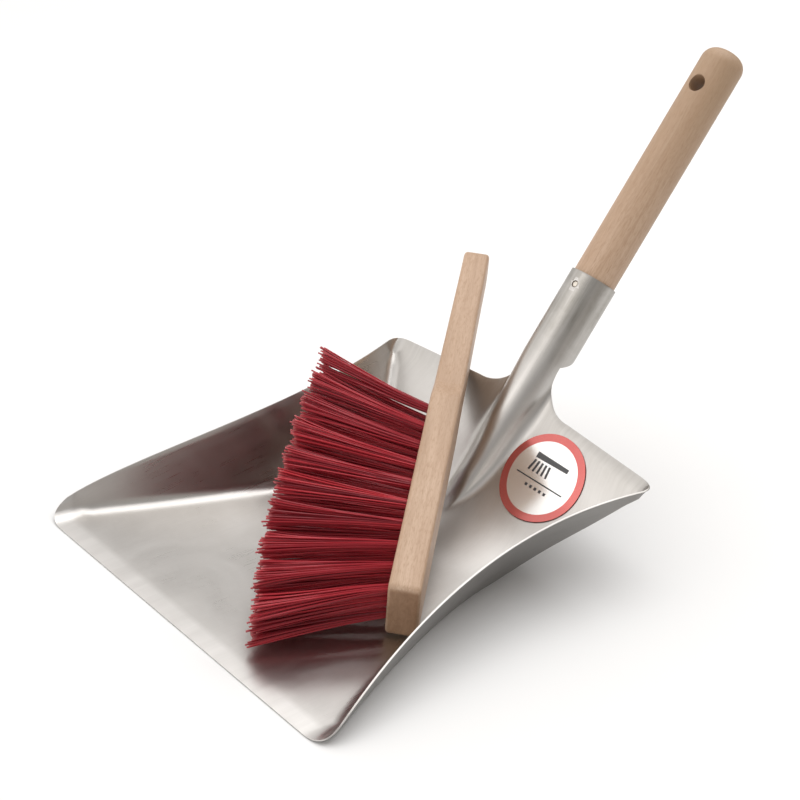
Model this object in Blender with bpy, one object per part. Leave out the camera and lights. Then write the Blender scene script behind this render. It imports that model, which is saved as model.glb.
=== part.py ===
"""Dustpan and hand brush: a pressed steel pan with a wooden handle, and a wooden brush lying in it.

Metres, +Z up. The pan's floor lies flat on Z = 0 with its middle at the origin, +X runs from the
lip to the handle, and the pan is symmetrical about Y = 0. The brush lies on its side, nose on the
floor, handle over the back edge. The shapes are worked out in millimetres from the middle of the
lip and moved back to the origin as each object is made.
"""

import math

import bpy
import bmesh
from mathutils import Matrix, Vector

MM = 0.001
ORIGIN_X = 77.5

# --- pan sheet (millimetres, middle of the sheet) ---
SHEET_T = 1.0
LIP_T = 0.6
LIP_BAND = 11.0
LIP_HALF = 121.0
FLOOR_L = 155.0
BEND_R = 84.5
BACK_ANGLE = 0.875
HANDLE_ANGLE = 0.951
KINK_L = 37.0
EAR_S = 262.0
EAR_Y = 107.0
EDGE_CTRL = ((23.6, 120.6, 24.0), (132.2, 69.8, 49.8))
CREASE_CTRL = ((198.6, 34.2), (192.0, 70.7))
CREASE_FILLET = 7.0
LIP_CORNER = 0.0235
LIP_ROUND = 16.0
EAR_CORNER = 0.955
EAR_ROUND = 13.0
NECK_S = 293.0
NECK_FILLET_R = 26.0
NECK_TILT = 0.04
NECK_EDGE_Y = 10.0
STRAIGHT_ROWS_S = 150.0

# --- rib and socket tube ---
TUBE_R = 13.9
TUBE_OFF = 0.9
TUBE_END_S = 347.0
SEAM_HALF_GAP = 0.8
WRAP_L = 24.0
RIB_START_S = 178.0
RIB_WIDTH_START = 0.34
RIB_FILLET_R = 10.0
RIB_SIDE_ANGLE = math.radians(75)
NECK_EDGE_FILLET_R = 3.0
ARC_STEPS = 10
RIB_FILLET_STEPS = 6
PANEL_STEPS = 10
PANEL_SPREAD = 1.4
CREASE_STEPS = 4
WALL_STEPS = 3

# --- wooden pan handle ---
HANDLE_R = 13.0
HANDLE_START_S = 312.0
HANDLE_TIP_S = 498.8
HANDLE_DOME = 9.0
HANG_HOLE_S = 472.6
HANG_HOLE_R = 5.0
HANG_RIM_R = 5.9
HANG_RIM_DEPTH = 0.9

# --- handle pin ---
PIN_S = 338.8
PIN_HOLE_R = 2.1
PIN_HEAD_R = 1.7
PIN_HEAD_T = 0.9
PIN_HEAD_LIFT = 0.35
PIN_SHANK_R = 1.0
PIN_SHANK_L = 9.0
PIN_BORE_R = 1.35
PIN_BORE_L = 10.5

# --- label ---
LABEL_S = 233.7
LABEL_Y = -41.6
LABEL_R = 26.9
LABEL_T = 0.3
LABEL_LIFT = 0.45

# --- brush pose ---
BRUSH_YAW = math.radians(40.1)
BRUSH_RISE = math.radians(15.4)
BRUSH_NOSE = (79.0, -72.7, 19.9)

# --- brush block: L along its length, W across, T through the thickness ---
BLOCK_L = 285.0
BLOCK_HALF_W = 19.2
GRIP_HALF_W = 13.2
SHOULDER_START = 141.0
SHOULDER_END = 163.0
BLOCK_T = 17.0
GRIP_THIN = 0.8
BLOCK_EDGE_R = 2.2
NOSE_CORNER_R = 4.0
END_CORNER_R = 9.0

# --- tufts ---
TUFT_COLS = 10
TUFT_ROWS = 3
TUFT_FIRST_L = 7.0
TUFT_PITCH_L = 14.8
TUFT_PITCH_W = 9.5
TUFT_HOLE_R = 3.5
TUFT_HOLE_DEPTH = 10.0
TUFT_ROOT_R = 3.1
TUFT_ROOT_GAP = 0.5
TUFT_FREE_L = 70.0
TUFT_TIP_L = 8.6
TUFT_TIP_W = 4.4
TUFT_FAN_NOSE = 1.46
TUFT_FAN_GRIP = 1.36
TUFT_FAN_W = 1.5
TUFT_SIDES = 12
TUFT_FLOOR_GAP = 1.6
TUFT_ROW_GAP = 0.5


def clamp(value, low, high):
    return max(low, min(high, value))


def lerp(a, b, f):
    return a + (b - a) * f


def smooth(f):
    f = clamp(f, 0.0, 1.0)
    return f * f * (3.0 - 2.0 * f)


def clear_scene():
    for obj in list(bpy.data.objects):
        bpy.data.objects.remove(obj, do_unlink=True)
    for mesh in list(bpy.data.meshes):
        bpy.data.meshes.remove(mesh)
    for mat in list(bpy.data.materials):
        bpy.data.materials.remove(mat)


def make_material(name, colour, roughness, metallic):
    mat = bpy.data.materials.new(name)
    mat.use_nodes = True
    shader = mat.node_tree.nodes["Principled BSDF"]
    shader.inputs["Base Color"].default_value = (*colour, 1.0)
    shader.inputs["Roughness"].default_value = roughness
    shader.inputs["Metallic"].default_value = metallic
    return mat


def mesh_object(name, bm, material, smooth_angle=None):
    """Turn a bmesh held in millimetres from the lip into a named object in metres."""
    bmesh.ops.recalc_face_normals(bm, faces=bm.faces)
    bmesh.ops.translate(bm, vec=(-ORIGIN_X, 0.0, 0.0), verts=bm.verts)
    bmesh.ops.scale(bm, vec=(MM, MM, MM), verts=bm.verts)
    mesh = bpy.data.meshes.new(name)
    bm.to_mesh(mesh)
    bm.free()
    mesh.materials.append(material)
    obj = bpy.data.objects.new(name, mesh)
    bpy.context.scene.collection.objects.link(obj)
    if smooth_angle is not None:
        mesh.shade_smooth()
        mesh.set_sharp_from_angle(angle=smooth_angle)
    return obj


def cut_with(obj, cutter):
    """Subtract the cutter from the object and discard the cutter."""
    modifier = obj.modifiers.new("cut", "BOOLEAN")
    modifier.operation = "DIFFERENCE"
    modifier.solver = "EXACT"
    modifier.object = cutter
    depsgraph = bpy.context.evaluated_depsgraph_get()
    cut_mesh = bpy.data.meshes.new_from_object(obj.evaluated_get(depsgraph))
    old_mesh = obj.data
    obj.modifiers.clear()
    obj.data = cut_mesh
    cut_mesh.name = obj.name
    bpy.data.meshes.remove(old_mesh)
    bpy.data.objects.remove(cutter, do_unlink=True)


# ---------------------------------------------------------------- pan surface

def spine(s):
    """Side profile of the pan: position (x, z) and slope at length s from the lip."""
    bend_l = BEND_R * BACK_ANGLE
    if s <= FLOOR_L:
        return s, 0.0, 0.0
    if s <= FLOOR_L + bend_l:
        a = (s - FLOOR_L) / BEND_R
        return FLOOR_L + BEND_R * math.sin(a), BEND_R * (1.0 - math.cos(a)), a
    x = FLOOR_L + BEND_R * math.sin(BACK_ANGLE)
    z = BEND_R * (1.0 - math.cos(BACK_ANGLE))
    rest = s - FLOOR_L - bend_l
    straight = NECK_S - KINK_L - FLOOR_L - bend_l
    run = min(rest, straight)
    x += run * math.cos(BACK_ANGLE)
    z += run * math.sin(BACK_ANGLE)
    if rest <= straight:
        return x, z, BACK_ANGLE
    rest -= straight
    kink_r = KINK_L / (HANDLE_ANGLE - BACK_ANGLE)
    a = BACK_ANGLE + min(rest, KINK_L) / kink_r
    x += kink_r * (math.sin(a) - math.sin(BACK_ANGLE))
    z += kink_r * (math.cos(BACK_ANGLE) - math.cos(a))
    run = max(0.0, rest - KINK_L)
    return x + run * math.cos(a), z + run * math.sin(a), a


def on_pan(s, y, n=0.0):
    """Point at length s, side offset y and height n above the middle of the sheet."""
    x, z, a = spine(s)
    return Vector((x - n * math.sin(a), y, z + n * math.cos(a) + SHEET_T / 2))


def bezier(points, t):
    w = ((1 - t) ** 3, 3 * t * (1 - t) ** 2, 3 * t * t * (1 - t), t ** 3)
    return tuple(sum(wi * p[k] for wi, p in zip(w, points)) for k in range(len(points[0])))


def crease_sy(t):
    return bezier(((0.0, LIP_HALF), *CREASE_CTRL, (EAR_S, EAR_Y)), t)


def crease_point(t):
    s, y = crease_sy(t)
    return on_pan(s, y)


def edge_point(t):
    ear = on_pan(EAR_S, EAR_Y)
    lift = SHEET_T / 2
    ctrl = [(0.0, LIP_HALF, lift)]
    ctrl += [(x, y, z + lift) for x, y, z in EDGE_CTRL]
    ctrl += [tuple(ear)]
    return Vector(bezier(ctrl, t))


def tangent(curve, t):
    step = 0.002
    a = clamp(t - step, 0.0, 1.0)
    b = clamp(t + step, 0.0, 1.0)
    return (curve(b) - curve(a)).normalized()


def matching_edge(t):
    """Free-edge parameter whose ruling stands square to the crease at parameter t."""
    base = crease_point(t)
    along = tangent(crease_point, t)
    low, high = 0.0, 1.0
    for _ in range(40):
        mid = (low + high) / 2
        side = (edge_point(mid) - base).dot(along + tangent(edge_point, mid))
        if side < 0:
            low = mid
        else:
            high = mid
    return (low + high) / 2


def rib_scale(s):
    """Width and height of the rib at length s, as fractions of the section at the neck."""
    p = clamp((s - RIB_START_S) / (NECK_S - RIB_START_S), 0.0, 1.0)
    width = RIB_WIDTH_START + (1.0 - RIB_WIDTH_START) * p ** 0.9
    height = (1.0 - (1.0 - p) ** 2.1) * smooth(p / 0.3)
    return width, height


def rib_fillet(s):
    """Radius of the fillet at the rib's foot, its centre's y, and the angle where it meets the rib."""
    narrowing = smooth((s - (NECK_S - 45.0)) / 45.0)
    fillet_r = lerp(RIB_FILLET_R, NECK_EDGE_FILLET_R, narrowing)
    dy = math.sqrt((TUBE_R + fillet_r) ** 2 - (fillet_r - TUBE_OFF) ** 2)
    return fillet_r, dy, math.atan2(dy, fillet_r - TUBE_OFF)


def rib_top(s):
    """(y, n) points over the round top of the rib, from the ridge out to its side."""
    width, height = rib_scale(s)
    side_angle = min(RIB_SIDE_ANGLE, rib_fillet(s)[2])
    points = []
    for i in range(ARC_STEPS + 1):
        a = side_angle * i / ARC_STEPS
        y = TUBE_R * math.sin(a)
        n = TUBE_OFF + TUBE_R * math.cos(a)
        points.append((y * width, n * height))
    return points


def rib_side(s):
    """(y, n) points down the side of the rib and round the fillet to the foot on the panel."""
    width, height = rib_scale(s)
    fillet_r, dy, meet = rib_fillet(s)
    side_angle = min(RIB_SIDE_ANGLE, meet)
    points = [(TUBE_R * math.sin(side_angle), TUBE_OFF + TUBE_R * math.cos(side_angle))]
    if meet > side_angle:
        points.append((TUBE_R * math.sin(meet), TUBE_OFF + TUBE_R * math.cos(meet)))
    for i in range(1, RIB_FILLET_STEPS + 1):
        a = math.pi + meet * (1 - i / RIB_FILLET_STEPS)
        points.append((dy + fillet_r * math.sin(a), fillet_r + fillet_r * math.cos(a)))
    return [(y * width, n * height) for y, n in points]


def side_length(s):
    side = rib_side(s)
    return sum(math.dist(a, b) for a, b in zip(side, side[1:]))


def across_panel(s, e):
    """(y, n) at distance e from the side of the rib, measured along the sheet."""
    side = rib_side(s)
    length = side_length(s)
    if e >= length:
        return side[-1][0] + e - length, 0.0
    return along_polyline(side, e / length)


def panel_distance(s, y):
    """Distance along the sheet from the side of the rib out to side offset y on the panel."""
    return side_length(s) + y - rib_side(s)[-1][0]


def tongue_half(s):
    """(y, n) points of the sheet beyond the neck, where it curls into the tube."""
    full = math.pi - SEAM_HALF_GAP / TUBE_R
    f = clamp((s - NECK_S) / WRAP_L, 0.0, 1.0)
    reach = lerp(RIB_SIDE_ANGLE, full, math.sin(f * math.pi / 2))
    points = []
    for i in range(ARC_STEPS + 1):
        a = reach * i / ARC_STEPS
        points.append((TUBE_R * math.sin(a), TUBE_OFF + TUBE_R * math.cos(a)))
    return points


def back_outline():
    """Back edge of the panel as (s, distance from the rib's side), from the neck to the ear."""
    points = []
    for i in range(13):
        a = (math.pi / 2 + NECK_TILT) * i / 12
        points.append((NECK_S - NECK_FILLET_R * math.sin(a), NECK_FILLET_R * (1 - math.cos(a))))
    s, y = ear_inner()
    points.append((s, panel_distance(s, y)))
    return points


def along_polyline(points, f):
    lengths = [0.0]
    for a, b in zip(points, points[1:]):
        lengths.append(lengths[-1] + math.dist(a, b))
    want = clamp(f, 0.0, 1.0) * lengths[-1]
    for i in range(1, len(points)):
        if want <= lengths[i] or i == len(points) - 1:
            g = (want - lengths[i - 1]) / (lengths[i] - lengths[i - 1])
            return tuple(lerp(p, q, g) for p, q in zip(points[i - 1], points[i]))
    return points[-1]


def corner_bezier(a, corner, b, f):
    return a * (1 - f) ** 2 + corner * 2 * f * (1 - f) + b * f * f


def crease_row_t():
    """Crease parameters of the rows, closer together where the sheet bends."""
    count = 25
    rows = []
    for i in range(count + 1):
        f = i / count
        rows.append(lerp(LIP_CORNER, EAR_CORNER, f))
    return rows


def side_strip(t, row, last):
    """Points of one row from the free edge down the wall and round the crease to the floor."""
    steps = WALL_STEPS + CREASE_STEPS
    if row == 0:
        a = edge_point(matching_edge(t))
        corner = on_pan(0.0, LIP_HALF)
        b = on_pan(0.0, LIP_HALF - LIP_ROUND)
        return [corner_bezier(a, corner, b, i / steps) for i in range(steps + 1)]
    if row == last:
        a = edge_point(matching_edge(t))
        corner = on_pan(EAR_S, EAR_Y)
        s, y = ear_inner()
        return [corner_bezier(a, corner, on_pan(s, y), i / steps) for i in range(steps + 1)]
    base = crease_point(t)
    top = edge_point(matching_edge(t))
    wall = top - base
    reach = crease_reach(t)
    inner = on_pan(*crease_inner(t, reach))
    start = base + wall.normalized() * reach
    points = [top.lerp(start, i / WALL_STEPS) for i in range(WALL_STEPS)]
    points += [corner_bezier(start, base, inner, i / CREASE_STEPS) for i in range(CREASE_STEPS + 1)]
    return points


def crease_inner(t, reach):
    """Point (s, y) on the floor, a distance reach inside the crease."""
    s, y = crease_sy(t)
    s1, y1 = crease_sy(clamp(t + 0.002, 0, 1))
    s0, y0 = crease_sy(clamp(t - 0.002, 0, 1))
    length = math.hypot(s1 - s0, y1 - y0)
    return s + reach * (y1 - y0) / length, y - reach * (s1 - s0) / length


def ear_inner():
    """Point (s, y) on the back edge where the rounding of the ear ends."""
    bend = math.pi / 2 + NECK_TILT
    s0 = NECK_S - NECK_FILLET_R * math.sin(bend)
    y0 = NECK_EDGE_Y + NECK_FILLET_R * (1 - math.cos(bend))
    f = 1 - EAR_ROUND / math.hypot(EAR_S - s0, EAR_Y - y0)
    return lerp(s0, EAR_S, f), lerp(y0, EAR_Y, f)


def coons(bottom, top, left, right, q, r):
    c00, c10 = bottom(0), bottom(1)
    c01, c11 = top(0), top(1)
    out = []
    for k in range(2):
        ruled_r = (1 - r) * bottom(q)[k] + r * top(q)[k]
        ruled_q = (1 - q) * left(r)[k] + q * right(r)[k]
        corners = (1 - q) * (1 - r) * c00[k] + q * (1 - r) * c10[k]
        corners += (1 - q) * r * c01[k] + q * r * c11[k]
        out.append(ruled_r + ruled_q - corners)
    return tuple(out)


def crease_reach(t):
    wall = edge_point(matching_edge(t)) - crease_point(t)
    return min(CREASE_FILLET, wall.length * 0.45)


def inner_points(params):
    """(s, y) of each row where the panel ends and the crease begins."""
    points = [(0.0, LIP_HALF - LIP_ROUND)]
    points += [crease_inner(t, crease_reach(t)) for t in params[1:-1]]
    points.append(ear_inner())
    return points


def pan_half_rows():
    """Rows of the +Y half, each from the centre line out to the free edge."""
    params = crease_row_t()
    last = len(params) - 1
    inner = inner_points(params)
    split = min(i for i, (s, y) in enumerate(inner) if s > STRAIGHT_ROWS_S)
    outline = back_outline()
    s_split = inner[split][0]
    ends = [(s, panel_distance(s, y)) for s, y in inner]

    def left(r):
        return lerp(s_split, NECK_S, r), 0.0

    def right(r):
        f = split + r * (last - split)
        i = min(int(f), last - 1)
        return tuple(lerp(a, b, f - i) for a, b in zip(ends[i], ends[i + 1]))

    def bottom(q):
        return s_split, ends[split][1] * q

    def top(q):
        return along_polyline(outline, q)

    rows = []
    for i, t in enumerate(params):
        r = max(0.0, (i - split) / (last - split))
        s_mid = inner[i][0] if i <= split else left(r)[0]
        row = [on_pan(s_mid, y, n) for y, n in rib_top(s_mid)]
        for j in range(1, PANEL_STEPS):
            q = (j / PANEL_STEPS) ** PANEL_SPREAD
            if i <= split:
                s, e = lerp(s_mid, inner[i][0], q), ends[i][1] * q
            else:
                s, e = coons(bottom, top, left, right, q, r)
            row.append(on_pan(s, *across_panel(s, e)))
        row += reversed(side_strip(t, i, last))
        rows.append(row)
    return rows


def tongue_rows():
    rows = []
    steps = (2.5, 5.0, 7.5, 10.0, 12.5, 15.0, 17.5, 22.0, 28.0, 34.0, 40.0, 46.0)
    for ds in (*steps, TUBE_END_S - NECK_S):
        s = NECK_S + ds
        rows.append([on_pan(s, y, n) for y, n in tongue_half(s)])
    return rows


def pan_mid_surface():
    """Open middle surface of the whole pan as a bmesh."""
    bm = bmesh.new()
    grid = []
    for half in pan_half_rows() + tongue_rows():
        right = [bm.verts.new(p) for p in half]
        left = [bm.verts.new((p.x, -p.y, p.z)) for p in half[1:]]
        grid.append(list(reversed(left)) + right)
    for low, high in zip(grid, grid[1:]):
        trim = (len(low) - len(high)) // 2
        part = low[trim:len(low) - trim]
        for a, b, c, d in zip(part, part[1:], high[1:], high):
            bm.faces.new((d, c, b, a))
    bm.normal_update()
    return bm


def thicken(bm):
    """Give the open surface its sheet thickness, thinner towards the lip."""
    bm.normal_update()
    bm.verts.ensure_lookup_table()
    upper = {}
    lower = {}
    boundary = [e for e in bm.edges if e.is_boundary]
    faces = [list(f.verts) for f in bm.faces]
    for v in list(bm.verts):
        n = v.normal.copy()
        f = clamp(v.co.x / LIP_BAND, 0.0, 1.0)
        top_half = lerp(LIP_T - SHEET_T / 2, SHEET_T / 2, f)
        upper[v] = bm.verts.new(v.co + n * top_half)
        lower[v] = bm.verts.new(v.co - n * SHEET_T / 2)
    pairs = []
    for e in boundary:
        loop = e.link_loops[0]
        pairs.append((loop.vert, loop.link_loop_next.vert))
    for verts in faces:
        bm.faces.new([upper[v] for v in verts])
        bm.faces.new([lower[v] for v in reversed(verts)])
    for a, b in pairs:
        bm.faces.new((upper[b], upper[a], lower[a], lower[b]))
    for v in list(upper):
        bm.verts.remove(v)


def build_pan_sheet(material):
    bm = pan_mid_surface()
    thicken(bm)
    obj = mesh_object("pan_sheet", bm, material, math.radians(35))
    cutter = radial_cylinder("pin_hole_cutter", PIN_S, PIN_HOLE_R, 8.0, 20.0, 16)
    cut_with(obj, cutter)
    obj.data.shade_smooth()
    obj.data.set_sharp_from_angle(angle=math.radians(35))
    return obj


# ---------------------------------------------------------------- handle and pin

def handle_frame(s):
    """Matrix at length s on the tube axis: X square to the axis, Y across, Z along it."""
    _, _, a = spine(s)
    origin = on_pan(s, 0.0, TUBE_OFF)
    along = Vector((math.cos(a), 0.0, math.sin(a)))
    up = Vector((-math.sin(a), 0.0, math.cos(a)))
    across = along.cross(up)
    m = Matrix((up, across, along)).transposed().to_4x4()
    m.translation = origin
    return m


def revolve(profile, sides):
    """Closed solid from (radius, height) pairs round the Z axis; ends may sit on the axis."""
    bm = bmesh.new()
    rings = []
    for r, z in profile:
        if r < 1e-6:
            rings.append([bm.verts.new((0.0, 0.0, z))])
            continue
        ring = []
        for i in range(sides):
            a = 2 * math.pi * i / sides
            ring.append(bm.verts.new((r * math.cos(a), r * math.sin(a), z)))
        rings.append(ring)
    for low, high in zip(rings, rings[1:]):
        for i in range(sides):
            j = (i + 1) % sides
            if len(low) == 1:
                bm.faces.new((low[0], high[i], high[j]))
            elif len(high) == 1:
                bm.faces.new((low[i], low[j], high[0]))
            else:
                bm.faces.new((low[i], low[j], high[j], high[i]))
    if len(rings[0]) > 1:
        bm.faces.new(reversed(rings[0]))
    if len(rings[-1]) > 1:
        bm.faces.new(rings[-1])
    return bm


def radial_matrix(s):
    """Matrix at length s whose Z axis points square out of the top of the tube."""
    m = handle_frame(s)
    turn = Matrix((m.col[1].xyz, m.col[2].xyz, m.col[0].xyz)).transposed().to_4x4()
    turn.translation = m.translation
    return turn


def radial_cylinder(name, s, radius, low, high, sides):
    bm = revolve([(radius, low), (radius, high)], sides)
    bmesh.ops.transform(bm, matrix=radial_matrix(s), verts=bm.verts)
    return mesh_object(name, bm, make_material(name, (0.5, 0.5, 0.5), 0.5, 0.0))


def build_pan_handle(material):
    length = HANDLE_TIP_S - HANDLE_START_S
    profile = [(0.0, 0.0), (HANDLE_R - 1.2, 0.0), (HANDLE_R, 1.5)]
    profile += [(HANDLE_R, length * f) for f in (0.25, 0.5, 0.75)]
    dome_steps = 7
    for i in range(dome_steps + 1):
        a = math.pi / 2 * i / dome_steps
        z = length - HANDLE_DOME + HANDLE_DOME * math.sin(a)
        profile.append((HANDLE_R * max(0.0, math.cos(a)) ** 0.7, z))
    profile[-1] = (0.0, length)
    bm = revolve(profile, 36)
    bmesh.ops.transform(bm, matrix=handle_frame(HANDLE_START_S), verts=bm.verts)
    obj = mesh_object("pan_handle", bm, material, math.radians(40))
    reach = HANDLE_R + 4.0
    surface = HANDLE_R
    rim = [(HANG_HOLE_R, HANG_RIM_DEPTH - surface), (HANG_HOLE_R, surface - HANG_RIM_DEPTH)]
    flare = reach - surface + HANG_RIM_DEPTH
    widening = (HANG_RIM_R - HANG_HOLE_R) / HANG_RIM_DEPTH
    outer = HANG_HOLE_R + widening * flare
    bm = revolve([(outer, -reach), *rim, (outer, reach)], 24)
    bmesh.ops.transform(bm, matrix=radial_matrix(HANG_HOLE_S), verts=bm.verts)
    hang = mesh_object("hang_cutter", bm, make_material("hang_cutter", (0.5, 0.5, 0.5), 0.5, 0.0))
    cut_with(obj, hang)
    bore_low = HANDLE_R - PIN_BORE_L
    cut_with(obj, radial_cylinder("bore_cutter", PIN_S, PIN_BORE_R, bore_low, HANDLE_R + 5, 12))
    obj.data.shade_smooth()
    obj.data.set_sharp_from_angle(angle=math.radians(40))
    return obj


def build_handle_pin(material):
    head_low = HANDLE_R + PIN_HEAD_LIFT
    shank_low = HANDLE_R - PIN_SHANK_L
    profile = [(0.0, shank_low - 1.0), (PIN_SHANK_R, shank_low), (PIN_SHANK_R, head_low)]
    profile += [(PIN_HEAD_R, head_low), (PIN_HEAD_R, head_low + PIN_HEAD_T * 0.6)]
    profile += [(PIN_HEAD_R * 0.6, head_low + PIN_HEAD_T), (0.0, head_low + PIN_HEAD_T)]
    bm = revolve(profile, 16)
    bmesh.ops.transform(bm, matrix=radial_matrix(PIN_S), verts=bm.verts)
    return mesh_object("handle_pin", bm, material, math.radians(40))


# ---------------------------------------------------------------- label

def build_label(material):
    """Round sticker that follows the sheet, a hair above it."""
    bm = bmesh.new()
    low_n = SHEET_T / 2 + LABEL_LIFT
    rings = []
    radii = [LABEL_R * f for f in (0.3, 0.6, 0.8, 1.0)]
    sides = 40
    centre = [bm.verts.new(on_pan(LABEL_S, LABEL_Y, n)) for n in (low_n, low_n + LABEL_T)]
    for r in radii:
        pair = []
        for n in (low_n, low_n + LABEL_T):
            ring = []
            for i in range(sides):
                a = 2 * math.pi * i / sides
                point = on_pan(LABEL_S + r * math.cos(a), LABEL_Y + r * math.sin(a), n)
                ring.append(bm.verts.new(point))
            pair.append(ring)
        rings.append(pair)
    for i in range(sides):
        j = (i + 1) % sides
        bm.faces.new((centre[0], rings[0][0][i], rings[0][0][j]))
        bm.faces.new((centre[1], rings[0][1][j], rings[0][1][i]))
        for inner, outer in zip(rings, rings[1:]):
            bm.faces.new((inner[0][i], outer[0][i], outer[0][j], inner[0][j]))
            bm.faces.new((inner[1][j], outer[1][j], outer[1][i], inner[1][i]))
        low, high = rings[-1]
        bm.faces.new((low[i], high[i], high[j], low[j]))
    return mesh_object("label", bm, material, math.radians(40))


# ---------------------------------------------------------------- brush

def brush_matrix():
    """Brush frame: X along the block from nose to grip, Y across (up as it lies), Z to its back."""
    along = Vector((math.cos(BRUSH_YAW) * math.cos(BRUSH_RISE),
                    math.sin(BRUSH_YAW) * math.cos(BRUSH_RISE),
                    math.sin(BRUSH_RISE)))
    back = Vector((math.sin(BRUSH_YAW), -math.cos(BRUSH_YAW), 0.0))
    across = back.cross(along)
    m = Matrix((along, across, back)).transposed().to_4x4()
    m.translation = Vector(BRUSH_NOSE)
    return m


def block_half_width(x):
    return lerp(BLOCK_HALF_W, GRIP_HALF_W, smooth((x - SHOULDER_START) / (SHOULDER_END - SHOULDER_START)))


def block_outline():
    """Closed plan outline of the block as (point, outward normal) pairs."""
    side = []
    for i in range(6):
        a = math.pi / 2 * i / 5
        x = NOSE_CORNER_R * (1 - math.cos(a))
        y = BLOCK_HALF_W - NOSE_CORNER_R * (1 - math.sin(a))
        side.append(Vector((x, y)))
    mids = [40.0, 80.0, 115.0]
    mids += [lerp(SHOULDER_START, SHOULDER_END, i / 8) for i in range(9)]
    mids += [190.0, 220.0, 250.0]
    side += [Vector((x, block_half_width(x))) for x in mids]
    for i in range(8):
        a = math.pi / 2 * i / 7
        x = BLOCK_L - END_CORNER_R * (1 - math.sin(a))
        y = GRIP_HALF_W - END_CORNER_R * (1 - math.cos(a))
        side.append(Vector((x, y)))
    loop = side + [Vector((p.x, -p.y)) for p in reversed(side)]
    count = len(loop)
    result = []
    for i, p in enumerate(loop):
        before = (p - loop[i - 1]).normalized()
        after = (loop[(i + 1) % count] - p).normalized()
        along = (before + after).normalized()
        result.append((p, Vector((-along.y, along.x))))
    return result


def block_faces(x):
    """Heights of the bristle face and the back face at length x."""
    thin = GRIP_THIN * smooth((x - SHOULDER_START) / (BLOCK_L - SHOULDER_START))
    return thin, BLOCK_T - thin


def build_brush_block(material):
    bm = bmesh.new()
    outline = block_outline()
    rings = []
    edge_steps = 4
    levels = []
    for i in range(edge_steps + 1):
        a = math.pi / 2 * i / edge_steps
        levels.append((BLOCK_EDGE_R * (1 - math.sin(a)), BLOCK_EDGE_R * (1 - math.cos(a))))
    for inset, rise in levels:
        ring = []
        for p, n in outline:
            low, _ = block_faces(p.x)
            q = p - n * inset
            ring.append(bm.verts.new((q.x, q.y, low + rise)))
        rings.append(ring)
    for inset, rise in reversed(levels):
        ring = []
        for p, n in outline:
            _, high = block_faces(p.x)
            q = p - n * inset
            ring.append(bm.verts.new((q.x, q.y, high - rise)))
        rings.append(ring)
    count = len(outline)
    for low, high in zip(rings, rings[1:]):
        for i in range(count):
            j = (i + 1) % count
            bm.faces.new((low[i], low[j], high[j], high[i]))
    for ring in (rings[0], rings[-1]):
        half = count // 2
        for i in range(half - 1):
            j = count - 1 - i
            bm.faces.new((ring[i], ring[i + 1], ring[j - 1], ring[j]))
    bmesh.ops.transform(bm, matrix=brush_matrix(), verts=bm.verts)
    obj = mesh_object("brush_block", bm, material, math.radians(35))
    cut_with(obj, hole_cutter())
    obj.data.shade_smooth()
    obj.data.set_sharp_from_angle(angle=math.radians(35))
    return obj


def tuft_roots():
    for col in range(TUFT_COLS):
        for row in range(TUFT_ROWS):
            x = TUFT_FIRST_L + TUFT_PITCH_L * col
            y = TUFT_PITCH_W * ((TUFT_ROWS - 1) / 2 - row)
            yield col, row, x, y


def hole_cutter():
    """All the tuft holes of the block as one cutter."""
    bm = bmesh.new()
    for _, _, x, y in tuft_roots():
        hole = revolve([(TUFT_HOLE_R, -6.0), (TUFT_HOLE_R, TUFT_HOLE_DEPTH)], TUFT_SIDES)
        bmesh.ops.recalc_face_normals(hole, faces=hole.faces)
        bmesh.ops.translate(hole, vec=(x, y, 0.0), verts=hole.verts)
        part = bpy.data.meshes.new("hole")
        hole.to_mesh(part)
        hole.free()
        bm.from_mesh(part)
        bpy.data.meshes.remove(part)
    bmesh.ops.transform(bm, matrix=brush_matrix(), verts=bm.verts)
    return mesh_object("hole_cutter", bm, make_material("hole_cutter", (0.5, 0.5, 0.5), 0.5, 0.0))


def tip_centres(col):
    """Tip centres of one column of tufts in the brush frame, kept clear of the pan's floor."""
    mid = TUFT_FIRST_L + TUFT_PITCH_L * (TUFT_COLS - 1) / 2
    root = TUFT_FIRST_L + TUFT_PITCH_L * col
    fan = TUFT_FAN_NOSE if root < mid else TUFT_FAN_GRIP
    splay = (root - mid) * (fan - 1.0)
    drop = -math.sqrt(TUFT_FREE_L ** 2 - splay ** 2)
    m = brush_matrix()
    lowest = m @ Vector((root + splay - TUFT_TIP_L, 0.0, drop))
    floor_y = (SHEET_T + TUFT_FLOOR_GAP - lowest.z) / m.col[1].z + TUFT_TIP_W
    ys = []
    for row in reversed(range(TUFT_ROWS)):
        y = TUFT_FAN_W * TUFT_PITCH_W * ((TUFT_ROWS - 1) / 2 - row)
        if ys:
            floor_y = ys[-1] + 2 * TUFT_TIP_W + TUFT_ROW_GAP
        ys.append(max(y, floor_y))
    return [Vector((root + splay, y, drop)) for y in reversed(ys)]


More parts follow.
